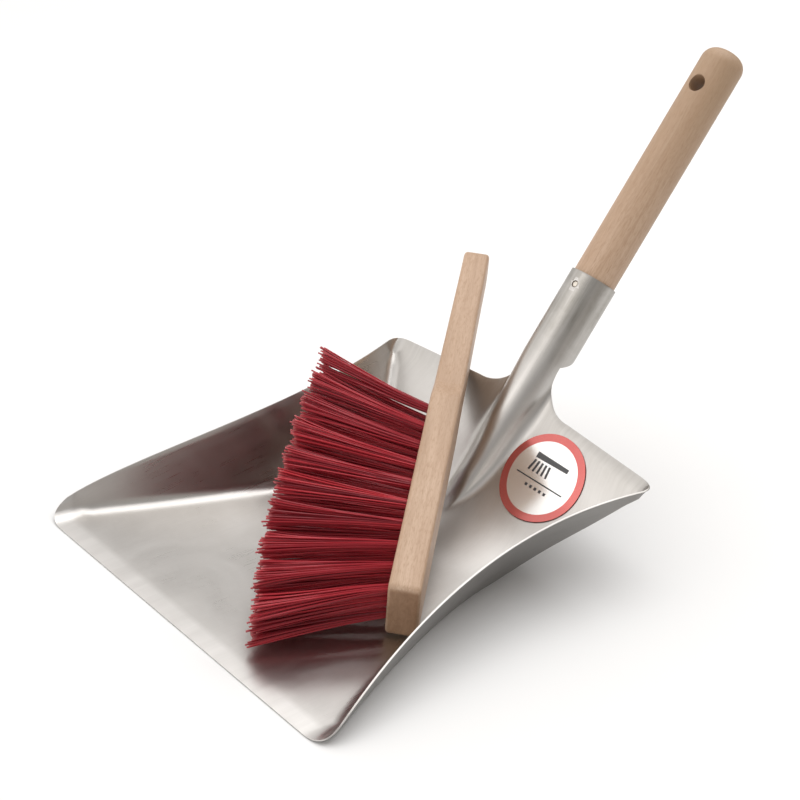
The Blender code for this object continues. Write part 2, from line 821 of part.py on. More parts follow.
def build_tuft(col, row, x, y, material):
    tip = tip_centres(col)[row]
    root_z = TUFT_HOLE_DEPTH - TUFT_ROOT_GAP
    bm = bmesh.new()
    rings = []
    stations = ((root_z, x, y, TUFT_ROOT_R, TUFT_ROOT_R),
                (0.0, x, y, TUFT_ROOT_R, TUFT_ROOT_R),
                (tip.z, tip.x, tip.y, TUFT_TIP_L, TUFT_TIP_W))
    for z, cx, cy, rx, ry in stations:
        ring = []
        for i in range(TUFT_SIDES):
            a = 2 * math.pi * i / TUFT_SIDES
            ring.append(bm.verts.new((cx + rx * math.cos(a), cy + ry * math.sin(a), z)))
        rings.append(ring)
    for high, low in zip(rings, rings[1:]):
        for i in range(TUFT_SIDES):
            j = (i + 1) % TUFT_SIDES
            bm.faces.new((high[i], high[j], low[j], low[i]))
    bm.faces.new(rings[0])
    bm.faces.new(reversed(rings[-1]))
    bmesh.ops.transform(bm, matrix=brush_matrix(), verts=bm.verts)
    return mesh_object(f"tuft_{col + 1:02d}_{row + 1}", bm, material, math.radians(40))


def set_origin(obj, point):
    """Move the object's origin to a point given from the lip, without moving its shape."""
    offset = (Vector(point) - Vector((ORIGIN_X, 0.0, 0.0))) * MM
    obj.data.transform(Matrix.Translation(-offset))
    obj.location = offset


def main():
    clear_scene()
    steel = (0.62, 0.60, 0.58)
    build_pan_sheet(make_material("pan_sheet", steel, 0.34, 1.0))
    build_pan_handle(make_material("pan_handle", (0.66, 0.44, 0.28), 0.55, 0.0))
    build_handle_pin(make_material("handle_pin", (0.70, 0.68, 0.64), 0.4, 1.0))
    build_label(make_material("label", (0.62, 0.10, 0.09), 0.4, 0.0))
    brush = [build_brush_block(make_material("brush_block", (0.70, 0.50, 0.34), 0.6, 0.0))]
    for col, row, x, y in tuft_roots():
        name = f"tuft_{col + 1:02d}_{row + 1}"
        material = make_material(name, (0.42, 0.02, 0.045), 0.45, 0.0)
        brush.append(build_tuft(col, row, x, y, material))
    for obj in brush:
        set_origin(obj, BRUSH_NOSE)
    for mat in list(bpy.data.materials):
        if mat.users == 0:
            bpy.data.materials.remove(mat)


main()
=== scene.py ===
"""Looks for the dustpan and hand brush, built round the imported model.

Shapes are worked out in millimetres from the middle of the pan's lip, on the same driving
dimensions as the CAD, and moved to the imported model's frame as each piece is made.
"""

import math
import random

import bmesh
import bpy
from mathutils import Matrix, Vector


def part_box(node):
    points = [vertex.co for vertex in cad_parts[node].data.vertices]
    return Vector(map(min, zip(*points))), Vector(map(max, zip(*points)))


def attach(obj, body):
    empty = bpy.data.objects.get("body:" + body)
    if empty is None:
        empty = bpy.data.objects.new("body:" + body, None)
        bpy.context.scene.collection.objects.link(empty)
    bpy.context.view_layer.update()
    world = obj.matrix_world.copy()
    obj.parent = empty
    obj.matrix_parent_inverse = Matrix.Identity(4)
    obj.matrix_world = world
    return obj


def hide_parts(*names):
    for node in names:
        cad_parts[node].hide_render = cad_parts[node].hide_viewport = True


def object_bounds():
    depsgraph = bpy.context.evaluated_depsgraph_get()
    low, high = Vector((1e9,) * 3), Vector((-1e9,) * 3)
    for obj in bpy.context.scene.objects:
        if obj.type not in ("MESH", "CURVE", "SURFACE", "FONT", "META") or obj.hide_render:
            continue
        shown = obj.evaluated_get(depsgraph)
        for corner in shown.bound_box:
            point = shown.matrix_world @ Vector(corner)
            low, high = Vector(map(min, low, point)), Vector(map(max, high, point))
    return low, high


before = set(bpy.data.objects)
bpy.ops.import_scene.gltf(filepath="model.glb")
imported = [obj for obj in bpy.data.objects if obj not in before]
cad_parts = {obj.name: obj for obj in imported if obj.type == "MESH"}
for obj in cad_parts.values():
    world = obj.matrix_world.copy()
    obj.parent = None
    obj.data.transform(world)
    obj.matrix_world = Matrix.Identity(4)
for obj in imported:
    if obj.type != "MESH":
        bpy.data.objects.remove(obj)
cad_low, cad_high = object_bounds()

MM = 0.001
# The lip's middle is the low X face of the pan sheet, on its plane of symmetry.
ORIGIN_X = -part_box("pan_sheet")[0].x / MM

# --- pan sheet ---
SHEET_T = 1.0
LIP_T = 0.6
LIP_BAND = 11.0
LIP_HALF = 121.0
FLOOR_L = 155.0
BEND_R = 84.5
BACK_ANGLE = 0.875
HANDLE_ANGLE = 0.951
KINK_L = 37.0
EAR_S = 262.0
EAR_Y = 107.0
EDGE_CTRL = ((23.6, 120.6, 24.0), (132.2, 69.8, 49.8))
CREASE_CTRL = ((198.6, 34.2), (192.0, 70.7))
CREASE_FILLET = 7.0
LIP_CORNER = 0.0235
LIP_ROUND = 16.0
EAR_CORNER = 0.955
EAR_ROUND = 13.0
NECK_S = 293.0
NECK_FILLET_R = 26.0
NECK_TILT = 0.04
NECK_EDGE_Y = 10.0
STRAIGHT_ROWS_S = 150.0
TUBE_R = 13.9
TUBE_OFF = 0.9
TUBE_END_S = 347.0
SEAM_HALF_GAP = 0.8
WRAP_L = 24.0
RIB_START_S = 178.0
RIB_WIDTH_START = 0.34
RIB_FILLET_R = 12.0
RIB_SIDE_ANGLE = math.radians(75)
RIB_WIDTH_POWER = 0.9
RIB_HEIGHT_POWER = 2.1
RIB_RISE_SHARE = 0.3
NECK_EDGE_FILLET_R = 3.0
NECK_NARROWING_L = 45.0
WALL_SHARE = 0.45
EDGE_ROUNDING = 0.18
# Third value of the "sheet" attribute on the underside; it is zero on the upper side.
UNDERSIDE_MARK = 0.05

# --- how finely the sheet is divided ---
ROWS = 100
ARC_STEPS = 22
RIB_SIDE_STEPS = 3
RIB_FILLET_STEPS = 14
NECK_FILLET_STEPS = 40
PANEL_STEPS = 34
PANEL_SPREAD = 1.25
CREASE_STEPS = 12
WALL_STEPS = 9
WRAP_ROW = 1.0
TUBE_ROW = 3.0
TUBE_LAST_GAP = 0.5
CURVE_STEP = 0.002
HALVINGS = 40

# --- how finely the round pieces are divided ---
ROUND_SIDES = 96
HANG_HOLE_SIDES = 64
SMALL_HOLE_SIDES = 24
NAIL_SIDES = 32
SMOOTH_ANGLE = 35.0

# --- handle and pin ---
HANDLE_R = 13.0
HANDLE_START_S = 312.0
HANDLE_TIP_S = 498.8
HANDLE_DOME = 9.0
HANDLE_DOME_POWER = 0.7
HANDLE_DOME_STEPS = 18
HANDLE_CHAMFER = 1.2
HANDLE_CHAMFER_MID = 0.35
HANDLE_RING_STEP = 6.0
HANDLE_FINE_STEP = 1.5
HANDLE_FINE_REACH = 12.0
HANG_HOLE_S = 472.6
HANG_HOLE_R = 5.0
HANG_RIM_R = 5.9
HANG_RIM_DEPTH = 0.9
HANG_RIM_STEPS = 6
HANG_CUTTER_SPREAD = 3.0
HANG_CUTTER_PAST = 4.0
PIN_S = 338.8
PIN_HOLE_R = 2.1
PIN_HOLE_SPAN = (8.0, 20.0)
PIN_R = 1.0
PIN_DEPTH = 9.0
PIN_POINT_L = 1.0
PIN_HEAD_R = 1.7
PIN_HEAD_LIFT = 0.35
PIN_HEAD_FACE = 0.92
PIN_HEAD_EASE = 0.15
PIN_HEAD_RIM = 0.4
PIN_HEAD_DOME = 0.5
PIN_HEAD_STEPS = 6

# --- label ---
LABEL_S = 233.7
LABEL_Y = -41.6
LABEL_R = 26.9
LABEL_RING_R = 22.2
LABEL_T = 0.3
LABEL_LIFT = 0.45
LABEL_EDGE = 0.1
LABEL_MIDDLE_RINGS = 8
LABEL_BAND_RINGS = 3

# --- sign on the label; u runs along the pan and v across it, from the label's centre ---
SIGN_GAP = 0.01
SIGN_T = 0.03
SIGN_STEPS = 8
SIGN_BACK = (10.5, 11.5, 10.5, -12.5, 3.6, 2.6)
SIGN_RULE = (-3.2, 17.5, -3.2, -17.5, 0.8, 0.8)
SIGN_COUNT = 5
STROKE_U = (7.6, 0.6)
STROKE_FIRST_V = 10.2
STROKE_PITCH = 2.7
STROKE_SPLAY = 0.6
STROKE_W = 1.5
SQUARE_U = (-6.4, -8.2)
SQUARE_FIRST_V = 7.0
SQUARE_PITCH = 3.5
SQUARE_W = 1.8

# --- brush ---
BRUSH_YAW = math.radians(40.1)
BRUSH_RISE = math.radians(15.4)
BRUSH_NOSE = (79.0, -72.7, 19.9)
BLOCK_L = 285.0
BLOCK_HALF_W = 19.2
GRIP_HALF_W = 13.2
SHOULDER_START = 141.0
SHOULDER_END = 163.0
BLOCK_T = 17.0
GRIP_THIN = 0.8
BLOCK_EDGE_R = 2.2
NOSE_CORNER_R = 4.0
END_CORNER_R = 9.0
BLOCK_EDGE_STEPS = 8
NOSE_CORNER_STEPS = 11
END_CORNER_STEPS = 14
OUTLINE_FIRST = 10.0
OUTLINE_LAST_GAP = 2.0
OUTLINE_STEP = 5.0
OUTLINE_FINE_STEP = 1.5
SHOULDER_MARGIN = 4.0
TUFT_COLS = 10
TUFT_ROWS = 3
TUFT_FIRST_L = 7.0
TUFT_PITCH_L = 14.8
TUFT_PITCH_W = 9.5
TUFT_HOLE_R = 3.5
TUFT_HOLE_DEPTH = 10.0
TUFT_HOLE_FLARE = 1.0
TUFT_HOLE_FLARE_DEPTH = 0.4
TUFT_CUTTER_PAST = 6.0
TUFT_ROOT_R = 3.0
TUFT_FREE_L = 70.0
TUFT_TIP_L = 8.6
TUFT_TIP_W = 4.4
TUFT_FAN_NOSE = 1.46
TUFT_FAN_GRIP = 1.36
TUFT_FAN_W = 1.5
TUFT_FLOOR_GAP = 1.6
TUFT_ROW_GAP = 0.5
FILAMENTS = 40
FILAMENT_R = 0.46
FILAMENT_SIDES = 6
FILAMENT_STEPS = 8
FILAMENT_FLOOR_GAP = 0.25
FILAMENT_IN_HOLE = 4.0
FILAMENT_LEAVE = 0.3
FILAMENT_LEAVE_SPLAY = 0.8
FILAMENT_ARRIVE = 0.36
FILAMENT_GATHER = 0.3
FILAMENT_BOW = (1.1, 0.7)
FILAMENT_SPREAD = 0.16
FILAMENT_SPREAD_MAX = 1.08
FILAMENT_LENGTH = 1.0
FILAMENT_LENGTH_MAX = 2.8
STRAY_SHARE = 0.15
STRAY_LENGTH = (-2.5, 2.0)
SHADE_MIDDLE = 0.5
SHADE_SPREAD = 0.22

# --- studio, in metres ---
FLOOR_HALF = 14.0
FLOOR_DROP = 0.0002
CAMERA_LENS = 79.16
CAMERA_CLIP = (0.05, 60.0)
CAMERA_POSITION = (-0.51627, -0.59036, 0.53828)
CAMERA_RIGHT = (0.7436, -0.6618, 0.0958)
CAMERA_UP = (0.2552, 0.4134, 0.8741)
# The surround changes along this direction: (share of the way, level, warmth).
WORLD_AXIS = (-0.60, 0.65, 0.47)
WORLD_STOPS = ((0.0, 0.28, 0.93), (0.14, 0.44, 0.93), (0.22, 0.60, 0.94), (0.48, 0.47, 0.97),
               (0.63, 0.52, 0.98), (0.84, 1.00, 0.98), (1.0, 1.28, 0.98))

# --- colours, linear RGB; a list holds the stops of a ramp ---
STEEL_CLOUDS = [(0.25, (0.515, 0.495, 0.472)),
                (0.5, (0.565, 0.544, 0.522)),
                (0.75, (0.61, 0.593, 0.574))]
STEEL_LINE = (0.47, 0.45, 0.435)
STEEL_BAND = (0.50, 0.475, 0.455)
STEEL_BLOTCH = (0.76, 0.74, 0.72)
# Painted highlight for the band along the lip.
STEEL_LIP_HIGHLIGHT = (0.74, 0.72, 0.70)
# Painted reflection: the dark streaks along the socket tube.
STEEL_TUBE_DARK_REFLECTION = (0.28, 0.265, 0.235)
# Painted shade laid over the underside and the outside of the walls.
STEEL_UNDERSIDE_SHADE = (0.20, 0.19, 0.18)
WOOD_FIGURE = [(0.28, (0.43, 0.285, 0.187)),
               (0.5, (0.51, 0.350, 0.240)),
               (0.74, (0.59, 0.425, 0.308))]
WOOD_STREAK = (0.38, 0.235, 0.145)
WOOD_RAY = (0.38, 0.235, 0.14)
WOOD_PORE = (0.33, 0.20, 0.12)
WOOD_HANDLED = (0.33, 0.215, 0.125)
WOOD_END = [(0.3, (0.26, 0.135, 0.070)), (0.7, (0.38, 0.22, 0.125))]
BRISTLE_SHADES = [(0.0, (0.18, 0.010, 0.018)),
                  (0.5, (0.35, 0.016, 0.028)),
                  (1.0, (0.53, 0.030, 0.044))]
BRISTLE_DUST = (0.50, 0.07, 0.07)
BRISTLE_CUT = (0.80, 0.30, 0.30)
NAIL_GRAIN = [(0.3, (0.52, 0.46, 0.38)), (0.7, (0.80, 0.76, 0.70))]
FILM_WHITE = (0.95, 0.94, 0.925)
FILM_WHITE_WORN = (0.84, 0.83, 0.815)
FILM_RED = (0.58, 0.125, 0.115)
FILM_RED_WORN = (0.68, 0.20, 0.18)
FILM_INK = (0.03, 0.03, 0.035)
FILM_INK_WORN = (0.07, 0.07, 0.07)
FLOOR_CLOUDS = [(0.0, (0.86, 0.86, 0.86)), (1.0, (0.88, 0.88, 0.88))]


def clamp(value, low, high):
    return max(low, min(high, value))


def lerp(a, b, f):
    return a + (b - a) * f


def smooth(f):
    f = clamp(f, 0.0, 1.0)
    return f * f * (3.0 - 2.0 * f)


# ---------------------------------------------------------------- materials

class Nodes:
    """Short names for building one material's nodes."""

    def __init__(self, name, roughness, metallic=0.0):
        self.mat = bpy.data.materials.new(name)
        self.mat.use_nodes = True
        self.tree = self.mat.node_tree
        self.shader = self.tree.nodes["Principled BSDF"]
        self.shader.inputs["Roughness"].default_value = roughness
        self.shader.inputs["Metallic"].default_value = metallic

    def node(self, kind, **values):
        n = self.tree.nodes.new(kind)
        for key, value in values.items():
            setattr(n, key, value)
        return n

    def link(self, a, b):
        self.tree.links.new(a, b)

    def coords(self, scale=(1.0, 1.0, 1.0), output="Object"):
        return self.stretched(self.node("ShaderNodeTexCoord").outputs[output], scale)

    def stretched(self, vector, scale):
        mapping = self.node("ShaderNodeMapping")
        mapping.inputs["Scale"].default_value = scale
        self.link(vector, mapping.inputs["Vector"])
        return mapping.outputs["Vector"]

    def noise(self, vector, scale, detail=4.0, rough=0.55, distortion=0.0):
        n = self.node("ShaderNodeTexNoise")
        n.inputs["Scale"].default_value = scale
        n.inputs["Detail"].default_value = detail
        n.inputs["Roughness"].default_value = rough
        n.inputs["Distortion"].default_value = distortion
        self.link(vector, n.inputs["Vector"])
        return n.outputs["Fac"]

    def ramp(self, factor, stops):
        n = self.node("ShaderNodeValToRGB")
        while len(n.color_ramp.elements) < len(stops):
            n.color_ramp.elements.new(0.5)
        for element, (position, colour) in zip(n.color_ramp.elements, stops):
            element.position = position
            element.color = (*colour, 1.0)
        self.link(factor, n.inputs["Fac"])
        return n.outputs["Color"]

    def grey(self, factor, low, high, from_low=0.0, from_high=1.0):
        n = self.node("ShaderNodeMapRange")
        n.inputs["From Min"].default_value = from_low
        n.inputs["From Max"].default_value = from_high
        n.inputs["To Min"].default_value = low
        n.inputs["To Max"].default_value = high
        self.link(factor, n.inputs["Value"])
        return n.outputs["Result"]

    def math(self, operation, a, b=None):
        n = self.node("ShaderNodeMath", operation=operation)
        for socket, value in zip(n.inputs, (a, b)):
            if value is None:
                continue
            if isinstance(value, (int, float)):
                socket.default_value = value
            else:
                self.link(value, socket)
        return n.outputs["Value"]

    def mix(self, factor, a, b):
        """Colour a turning into b; inputs 6 and 7 and output 2 are the node's colour sockets."""
        n = self.node("ShaderNodeMix", data_type="RGBA")
        sockets = [n.inputs[0], n.inputs[6], n.inputs[7]]
        for socket, value in zip(sockets, (factor, a, b)):
            if isinstance(value, tuple):
                socket.default_value = (*value, 1.0)
            else:
                self.link(value, socket)
        return n.outputs[2]

    def axis(self, vector, index):
        n = self.node("ShaderNodeSeparateXYZ")
        self.link(vector, n.inputs[0])
        return n.outputs[index]

    def bump(self, height, strength, distance):
        n = self.node("ShaderNodeBump")
        n.inputs["Strength"].default_value = strength
        n.inputs["Distance"].default_value = distance
        self.link(height, n.inputs["Height"])
        return n.outputs["Normal"]

    def finish(self, colour, roughness=None, normal=None):
        self.link(colour, self.shader.inputs["Base Color"])
        if roughness is not None:
            self.link(roughness, self.shader.inputs["Roughness"])
        if normal is not None:
            self.link(normal, self.shader.inputs["Normal"])
        return self.mat


def steel_material():
    """Rolled steel sheet: fine rolling lines along the pan, cloudy patches, light scuffs, a painted
    highlight along the lip, painted dark reflections along the socket tube and painted shade over the
    underside.

    The "sheet" attribute holds the length from the lip, the distance across and the underside mark.
    """
    n = Nodes("rolled_steel", roughness=0.34, metallic=1.0)
    n.shader.inputs["Anisotropic"].default_value = 0.25
    sheet = n.node("ShaderNodeAttribute", attribute_name="sheet").outputs["Vector"]
    run, underside = n.axis(sheet, 0), n.axis(sheet, 2)
    rolled = n.noise(n.stretched(sheet, (22.0, 1500.0, 40.0)), 1.0, 4.0, 0.6)
    bands = n.noise(n.stretched(sheet, (5.0, 110.0, 40.0)), 1.0, 4.0, 0.6, 0.4)
    streak = n.noise(n.stretched(sheet, (14.0, 330.0, 40.0)), 1.0, 3.0, 0.6, 0.3)
    cloud = n.noise(n.coords(), 14.0, 5.0, 0.6, 0.8)
    blotch = n.noise(n.coords(), 75.0, 5.0, 0.65, 0.5)

    tone = n.ramp(cloud, STEEL_CLOUDS)
    tone = n.mix(n.grey(rolled, 0.0, 0.22, 0.3, 0.75), tone, STEEL_LINE)
    tone = n.mix(n.grey(bands, 0.0, 0.25, 0.45, 0.8), tone, STEEL_BAND)
    tone = n.mix(n.grey(blotch, 0.0, 0.14, 0.5, 0.8), tone, STEEL_BLOTCH)
    # Painted highlight: a paler band along the lip, standing in for the light its slightly tapered top
    # catches, broken up unevenly.
    lip_highlight_band = n.grey(run, 1.0, 0.0, 0.0085, 0.0125)
    tone = n.mix(n.math("MULTIPLY", lip_highlight_band, n.grey(bands, 0.25, 0.75, 0.3, 0.7)), tone, STEEL_LIP_HIGHLIGHT)
    # Painted reflection: dark streaks along the socket tube, standing in for the dark streaks its round
    # surface reflects.
    dark_reflection_streaks = n.math("MULTIPLY", n.grey(streak, 0.45, 1.0, 0.3, 0.68), n.grey(blotch, 0.5, 1.0, 0.3, 0.7))
    on_tube = n.grey(run, 0.0, 1.0, 0.265, 0.32)
    tone = n.mix(n.math("MULTIPLY", on_tube, dark_reflection_streaks), tone, STEEL_TUBE_DARK_REFLECTION)
    # Painted shade: the underside, and with it the outside of the walls, is taken most of the way to a dark
    # grey.
    underside_shade = n.grey(underside, 0.0, 0.85, UNDERSIDE_MARK * 0.84, UNDERSIDE_MARK * 0.98)
    tone = n.mix(underside_shade, tone, STEEL_UNDERSIDE_SHADE)

    rough = n.math("ADD", n.grey(rolled, 0.27, 0.37, 0.25, 0.75), n.grey(cloud, -0.04, 0.05, 0.3, 0.7))
    rough = n.math("ADD", rough, n.grey(bands, -0.03, 0.03))
    return n.finish(tone, rough, n.bump(rolled, strength=0.04, distance=0.00002))


def wood_material(name, end_grain):
    """Sanded beech: soft figure along the piece and short dark flecks.

    With end_grain the ends are browner; without it the wood darkens where it is held.
    """
    n = Nodes(name, roughness=0.5)
    n.shader.inputs["Coat Weight"].default_value = 0.06
    n.shader.inputs["Coat Roughness"].default_value = 0.35
    figure = n.noise(n.coords((9.0, 90.0, 90.0)), 1.0, 3.0, 0.5, 0.7)
    streak = n.noise(n.coords((26.0, 620.0, 620.0)), 1.0, 3.0, 0.6, 0.3)
    pores = n.noise(n.coords((330.0, 2300.0, 2300.0)), 1.0, 2.0, 0.5)
    rays = n.noise(n.coords((210.0, 1150.0, 1150.0)), 1.0, 1.0, 0.4, 0.2)

    colour = n.ramp(figure, WOOD_FIGURE)
    colour = n.mix(n.grey(streak, 0.0, 0.6, 0.42, 0.76), colour, WOOD_STREAK)
    colour = n.mix(n.grey(rays, 0.0, 0.42, 0.52, 0.68), colour, WOOD_RAY)
    colour = n.mix(n.grey(pores, 0.0, 0.36, 0.54, 0.70), colour, WOOD_PORE)
    if end_grain:
        rings = n.noise(n.coords((40.0, 160.0, 420.0)), 1.0, 4.0, 0.6, 0.8)
        facing = n.math("ABSOLUTE", n.axis(n.coords(output="Normal"), 0))
        colour = n.mix(n.grey(facing, 0.0, 0.82, 0.78, 0.97), colour, n.ramp(rings, WOOD_END))
    else:
        along = n.axis(n.coords(), 0)
        held = n.math("MULTIPLY", n.grey(along, 0.0, 1.0, 0.05, 0.16), n.grey(figure, 0.35, 0.75, 0.3, 0.7))
        colour = n.mix(held, colour, WOOD_HANDLED)

    height = n.math("SUBTRACT", n.grey(streak, 0.0, 0.4), n.grey(pores, 0.0, 1.0, 0.58, 0.72))
    rough = n.math("ADD", n.grey(figure, 0.42, 0.56), n.grey(pores, 0.0, 0.2, 0.55, 0.75))
    return n.finish(colour, rough, n.bump(height, strength=0.22, distance=0.00006))


def bristle_material():
    """Crimson plastic filament, each a little different, paler where it is cut."""
    n = Nodes("crimson_filament", roughness=0.36)
    n.shader.inputs["Specular IOR Level"].default_value = 0.4
    shade = n.node("ShaderNodeAttribute", attribute_name="shade").outputs["Fac"]
    along = n.node("ShaderNodeAttribute", attribute_name="along").outputs["Fac"]
    dust = n.noise(n.coords(), 420.0, 3.0, 0.6)
    colour = n.ramp(shade, BRISTLE_SHADES)
    colour = n.mix(n.grey(dust, 0.0, 0.12, 0.5, 0.8), colour, BRISTLE_DUST)
    colour = n.mix(n.grey(along, 0.0, 0.35, 0.975, 1.0), colour, BRISTLE_CUT)
    rough = n.grey(dust, 0.28, 0.48, 0.3, 0.7)
    return n.finish(colour, rough, n.bump(dust, strength=0.15, distance=0.00003))


def print_material(name, colour, worn, roughness, metallic=0.0):
    """Printed gloss film with faint dust and a little wear in the ink."""
    n = Nodes(name, roughness, metallic)
    n.shader.inputs["Coat Weight"].default_value = 0.7
    n.shader.inputs["Coat Roughness"].default_value = 0.12
    speck = n.noise(n.coords(), 900.0, 3.0, 0.6)
    cloud = n.noise(n.coords(), 45.0, 4.0, 0.55)
    tone = n.mix(n.grey(cloud, 0.0, 0.35, 0.35, 0.75), colour, worn)
    tone = n.mix(n.grey(speck, 0.0, 0.3, 0.6, 0.8), tone, worn)
    rough = n.grey(cloud, roughness - 0.06, roughness + 0.1)
    return n.finish(tone, rough, n.bump(cloud, strength=0.08, distance=0.0002))


def nail_material():
    n = Nodes("zinc_nail", roughness=0.4, metallic=1.0)
    grain = n.noise(n.coords(), 1800.0, 4.0, 0.6)
    rough = n.grey(grain, 0.3, 0.55)
    return n.finish(n.ramp(grain, NAIL_GRAIN), rough, n.bump(grain, strength=0.3, distance=0.00003))


# ---------------------------------------------------------------- mesh helpers

def add_to_scene(name, data):
    obj = bpy.data.objects.new(name, data)
    bpy.context.scene.collection.objects.link(obj)
    return obj


def make_object(name, bm, materials, matrix=Matrix.Identity(4), smooth_angle=SMOOTH_ANGLE):
    """A bmesh in millimetres becomes an object in metres, placed by matrix (in millimetres)."""
    bmesh.ops.recalc_face_normals(bm, faces=bm.faces)
    bmesh.ops.scale(bm, vec=(MM, MM, MM), verts=bm.verts)
    mesh = bpy.data.meshes.new(name)
    bm.to_mesh(mesh)
    bm.free()
    for material in materials:
        mesh.materials.append(material)
    obj = add_to_scene(name, mesh)
    place = Matrix.Translation((-ORIGIN_X, 0.0, 0.0)) @ matrix
    place.translation = place.translation * MM
    obj.matrix_world = place
    mesh.shade_smooth()
    mesh.set_sharp_from_angle(angle=math.radians(smooth_angle))
    bpy.context.view_layer.update()
    return obj


def bake_modifiers(obj):
    """Replace the object's mesh by its evaluated one."""
    bpy.context.view_layer.update()
    depsgraph = bpy.context.evaluated_depsgraph_get()
    made = bpy.data.meshes.new_from_object(obj.evaluated_get(depsgraph))
    old = obj.data
    obj.modifiers.clear()
    obj.data = made
    made.name = obj.name
    bpy.data.meshes.remove(old)
    made.shade_smooth()
    made.set_sharp_from_angle(angle=math.radians(SMOOTH_ANGLE))


def cut_with(obj, cutter):
    modifier = obj.modifiers.new("cut", "BOOLEAN")
    modifier.operation = "DIFFERENCE"
    modifier.solver = "EXACT"
    modifier.object = cutter
    bake_modifiers(obj)
    bpy.data.objects.remove(cutter, do_unlink=True)


def round_edges(obj, width):
    modifier = obj.modifiers.new("rounded_edges", "BEVEL")
    modifier.width = width * MM
    modifier.segments = 2
    modifier.limit_method = "ANGLE"
    modifier.angle_limit = math.radians(50.0)
    bake_modifiers(obj)


def revolve(profile, sides):
    """Closed solid from (radius, height) pairs round the Z axis; ends may sit on the axis."""
    bm = bmesh.new()
    rings = []
    for r, z in profile:
        if r < 1e-6:
            rings.append([bm.verts.new((0.0, 0.0, z))])
            continue
        turns = [2 * math.pi * i / sides for i in range(sides)]
        rings.append([bm.verts.new((r * math.cos(a), r * math.sin(a), z)) for a in turns])
    for low, high in zip(rings, rings[1:]):
        for i in range(sides):
            j = (i + 1) % sides
            if len(low) == 1:
                bm.faces.new((low[0], high[i], high[j]))
            elif len(high) == 1:
                bm.faces.new((low[i], low[j], high[0]))
            else:
                bm.faces.new((low[i], low[j], high[j], high[i]))
    if len(rings[0]) > 1:
        bm.faces.new(reversed(rings[0]))
    if len(rings[-1]) > 1:
        bm.faces.new(rings[-1])
    return bm


def quarter_turn(steps):
    """Angles of a quarter turn, both ends included."""
    return [math.pi / 2 * i / steps for i in range(steps + 1)]


def close_ring(bm, low, high):
    """Faces between two closed rings of equally many vertices."""
    for i in range(len(low)):
        j = (i + 1) % len(low)
        bm.faces.new((low[i], low[j], high[j], high[i]))


# ---------------------------------------------------------------- pan surface

def spine(s):
    """Side profile of the pan: position (x, z) and slope at length s from the lip."""
    bend_l = BEND_R * BACK_ANGLE
    if s <= FLOOR_L:
        return s, 0.0, 0.0
    if s <= FLOOR_L + bend_l:
        a = (s - FLOOR_L) / BEND_R
        return FLOOR_L + BEND_R * math.sin(a), BEND_R * (1.0 - math.cos(a)), a
    x = FLOOR_L + BEND_R * math.sin(BACK_ANGLE)
    z = BEND_R * (1.0 - math.cos(BACK_ANGLE))
    rest = s - FLOOR_L - bend_l
    straight = NECK_S - KINK_L - FLOOR_L - bend_l
    run = min(rest, straight)
    x += run * math.cos(BACK_ANGLE)
    z += run * math.sin(BACK_ANGLE)
    if rest <= straight:
        return x, z, BACK_ANGLE
    rest -= straight
    kink_r = KINK_L / (HANDLE_ANGLE - BACK_ANGLE)
    a = BACK_ANGLE + min(rest, KINK_L) / kink_r
    x += kink_r * (math.sin(a) - math.sin(BACK_ANGLE))
    z += kink_r * (math.cos(BACK_ANGLE) - math.cos(a))
    run = max(0.0, rest - KINK_L)
    return x + run * math.cos(a), z + run * math.sin(a), a


def on_pan(s, y, n=0.0):
    """Point at length s, side offset y and height n above the middle of the sheet."""
    x, z, a = spine(s)
    return Vector((x - n * math.sin(a), y, z + n * math.cos(a) + SHEET_T / 2))


def bezier(points, t):
    w = ((1 - t) ** 3, 3 * t * (1 - t) ** 2, 3 * t * t * (1 - t), t ** 3)
    return tuple(sum(wi * p[k] for wi, p in zip(w, points)) for k in range(len(points[0])))


def crease_sy(t):
    return bezier(((0.0, LIP_HALF), *CREASE_CTRL, (EAR_S, EAR_Y)), t)


def crease_point(t):
    s, y = crease_sy(t)
    return on_pan(s, y)


def edge_point(t):
    ear = on_pan(EAR_S, EAR_Y)
    lift = SHEET_T / 2
    ctrl = [(0.0, LIP_HALF, lift)]
    ctrl += [(x, y, z + lift) for x, y, z in EDGE_CTRL]
    ctrl += [tuple(ear)]
    return Vector(bezier(ctrl, t))


def tangent(curve, t):
    a = clamp(t - CURVE_STEP, 0.0, 1.0)
    b = clamp(t + CURVE_STEP, 0.0, 1.0)
    return (curve(b) - curve(a)).normalized()


def matching_edge(t):
    """Free-edge parameter whose ruling stands square to the crease at parameter t."""
    base = crease_point(t)
    along = tangent(crease_point, t)
    low, high = 0.0, 1.0
    for _ in range(HALVINGS):
        mid = (low + high) / 2
        side = (edge_point(mid) - base).dot(along + tangent(edge_point, mid))
        if side < 0:
            low = mid
        else:
            high = mid
    return (low + high) / 2


def rib_scale(s):
    """Width and height of the rib at length s, as fractions of the section at the neck."""
    p = clamp((s - RIB_START_S) / (NECK_S - RIB_START_S), 0.0, 1.0)
    width = RIB_WIDTH_START + (1.0 - RIB_WIDTH_START) * p ** RIB_WIDTH_POWER
    height = (1.0 - (1.0 - p) ** RIB_HEIGHT_POWER) * smooth(p / RIB_RISE_SHARE)
    return width, height


def rib_fillet(s):
    """Radius of the fillet at the rib's foot, its centre's y, and the angle where it meets the rib."""
    narrowing = smooth((s - (NECK_S - NECK_NARROWING_L)) / NECK_NARROWING_L)
    fillet_r = lerp(RIB_FILLET_R, NECK_EDGE_FILLET_R, narrowing)
    dy = math.sqrt((TUBE_R + fillet_r) ** 2 - (fillet_r - TUBE_OFF) ** 2)
    return fillet_r, dy, math.atan2(dy, fillet_r - TUBE_OFF)


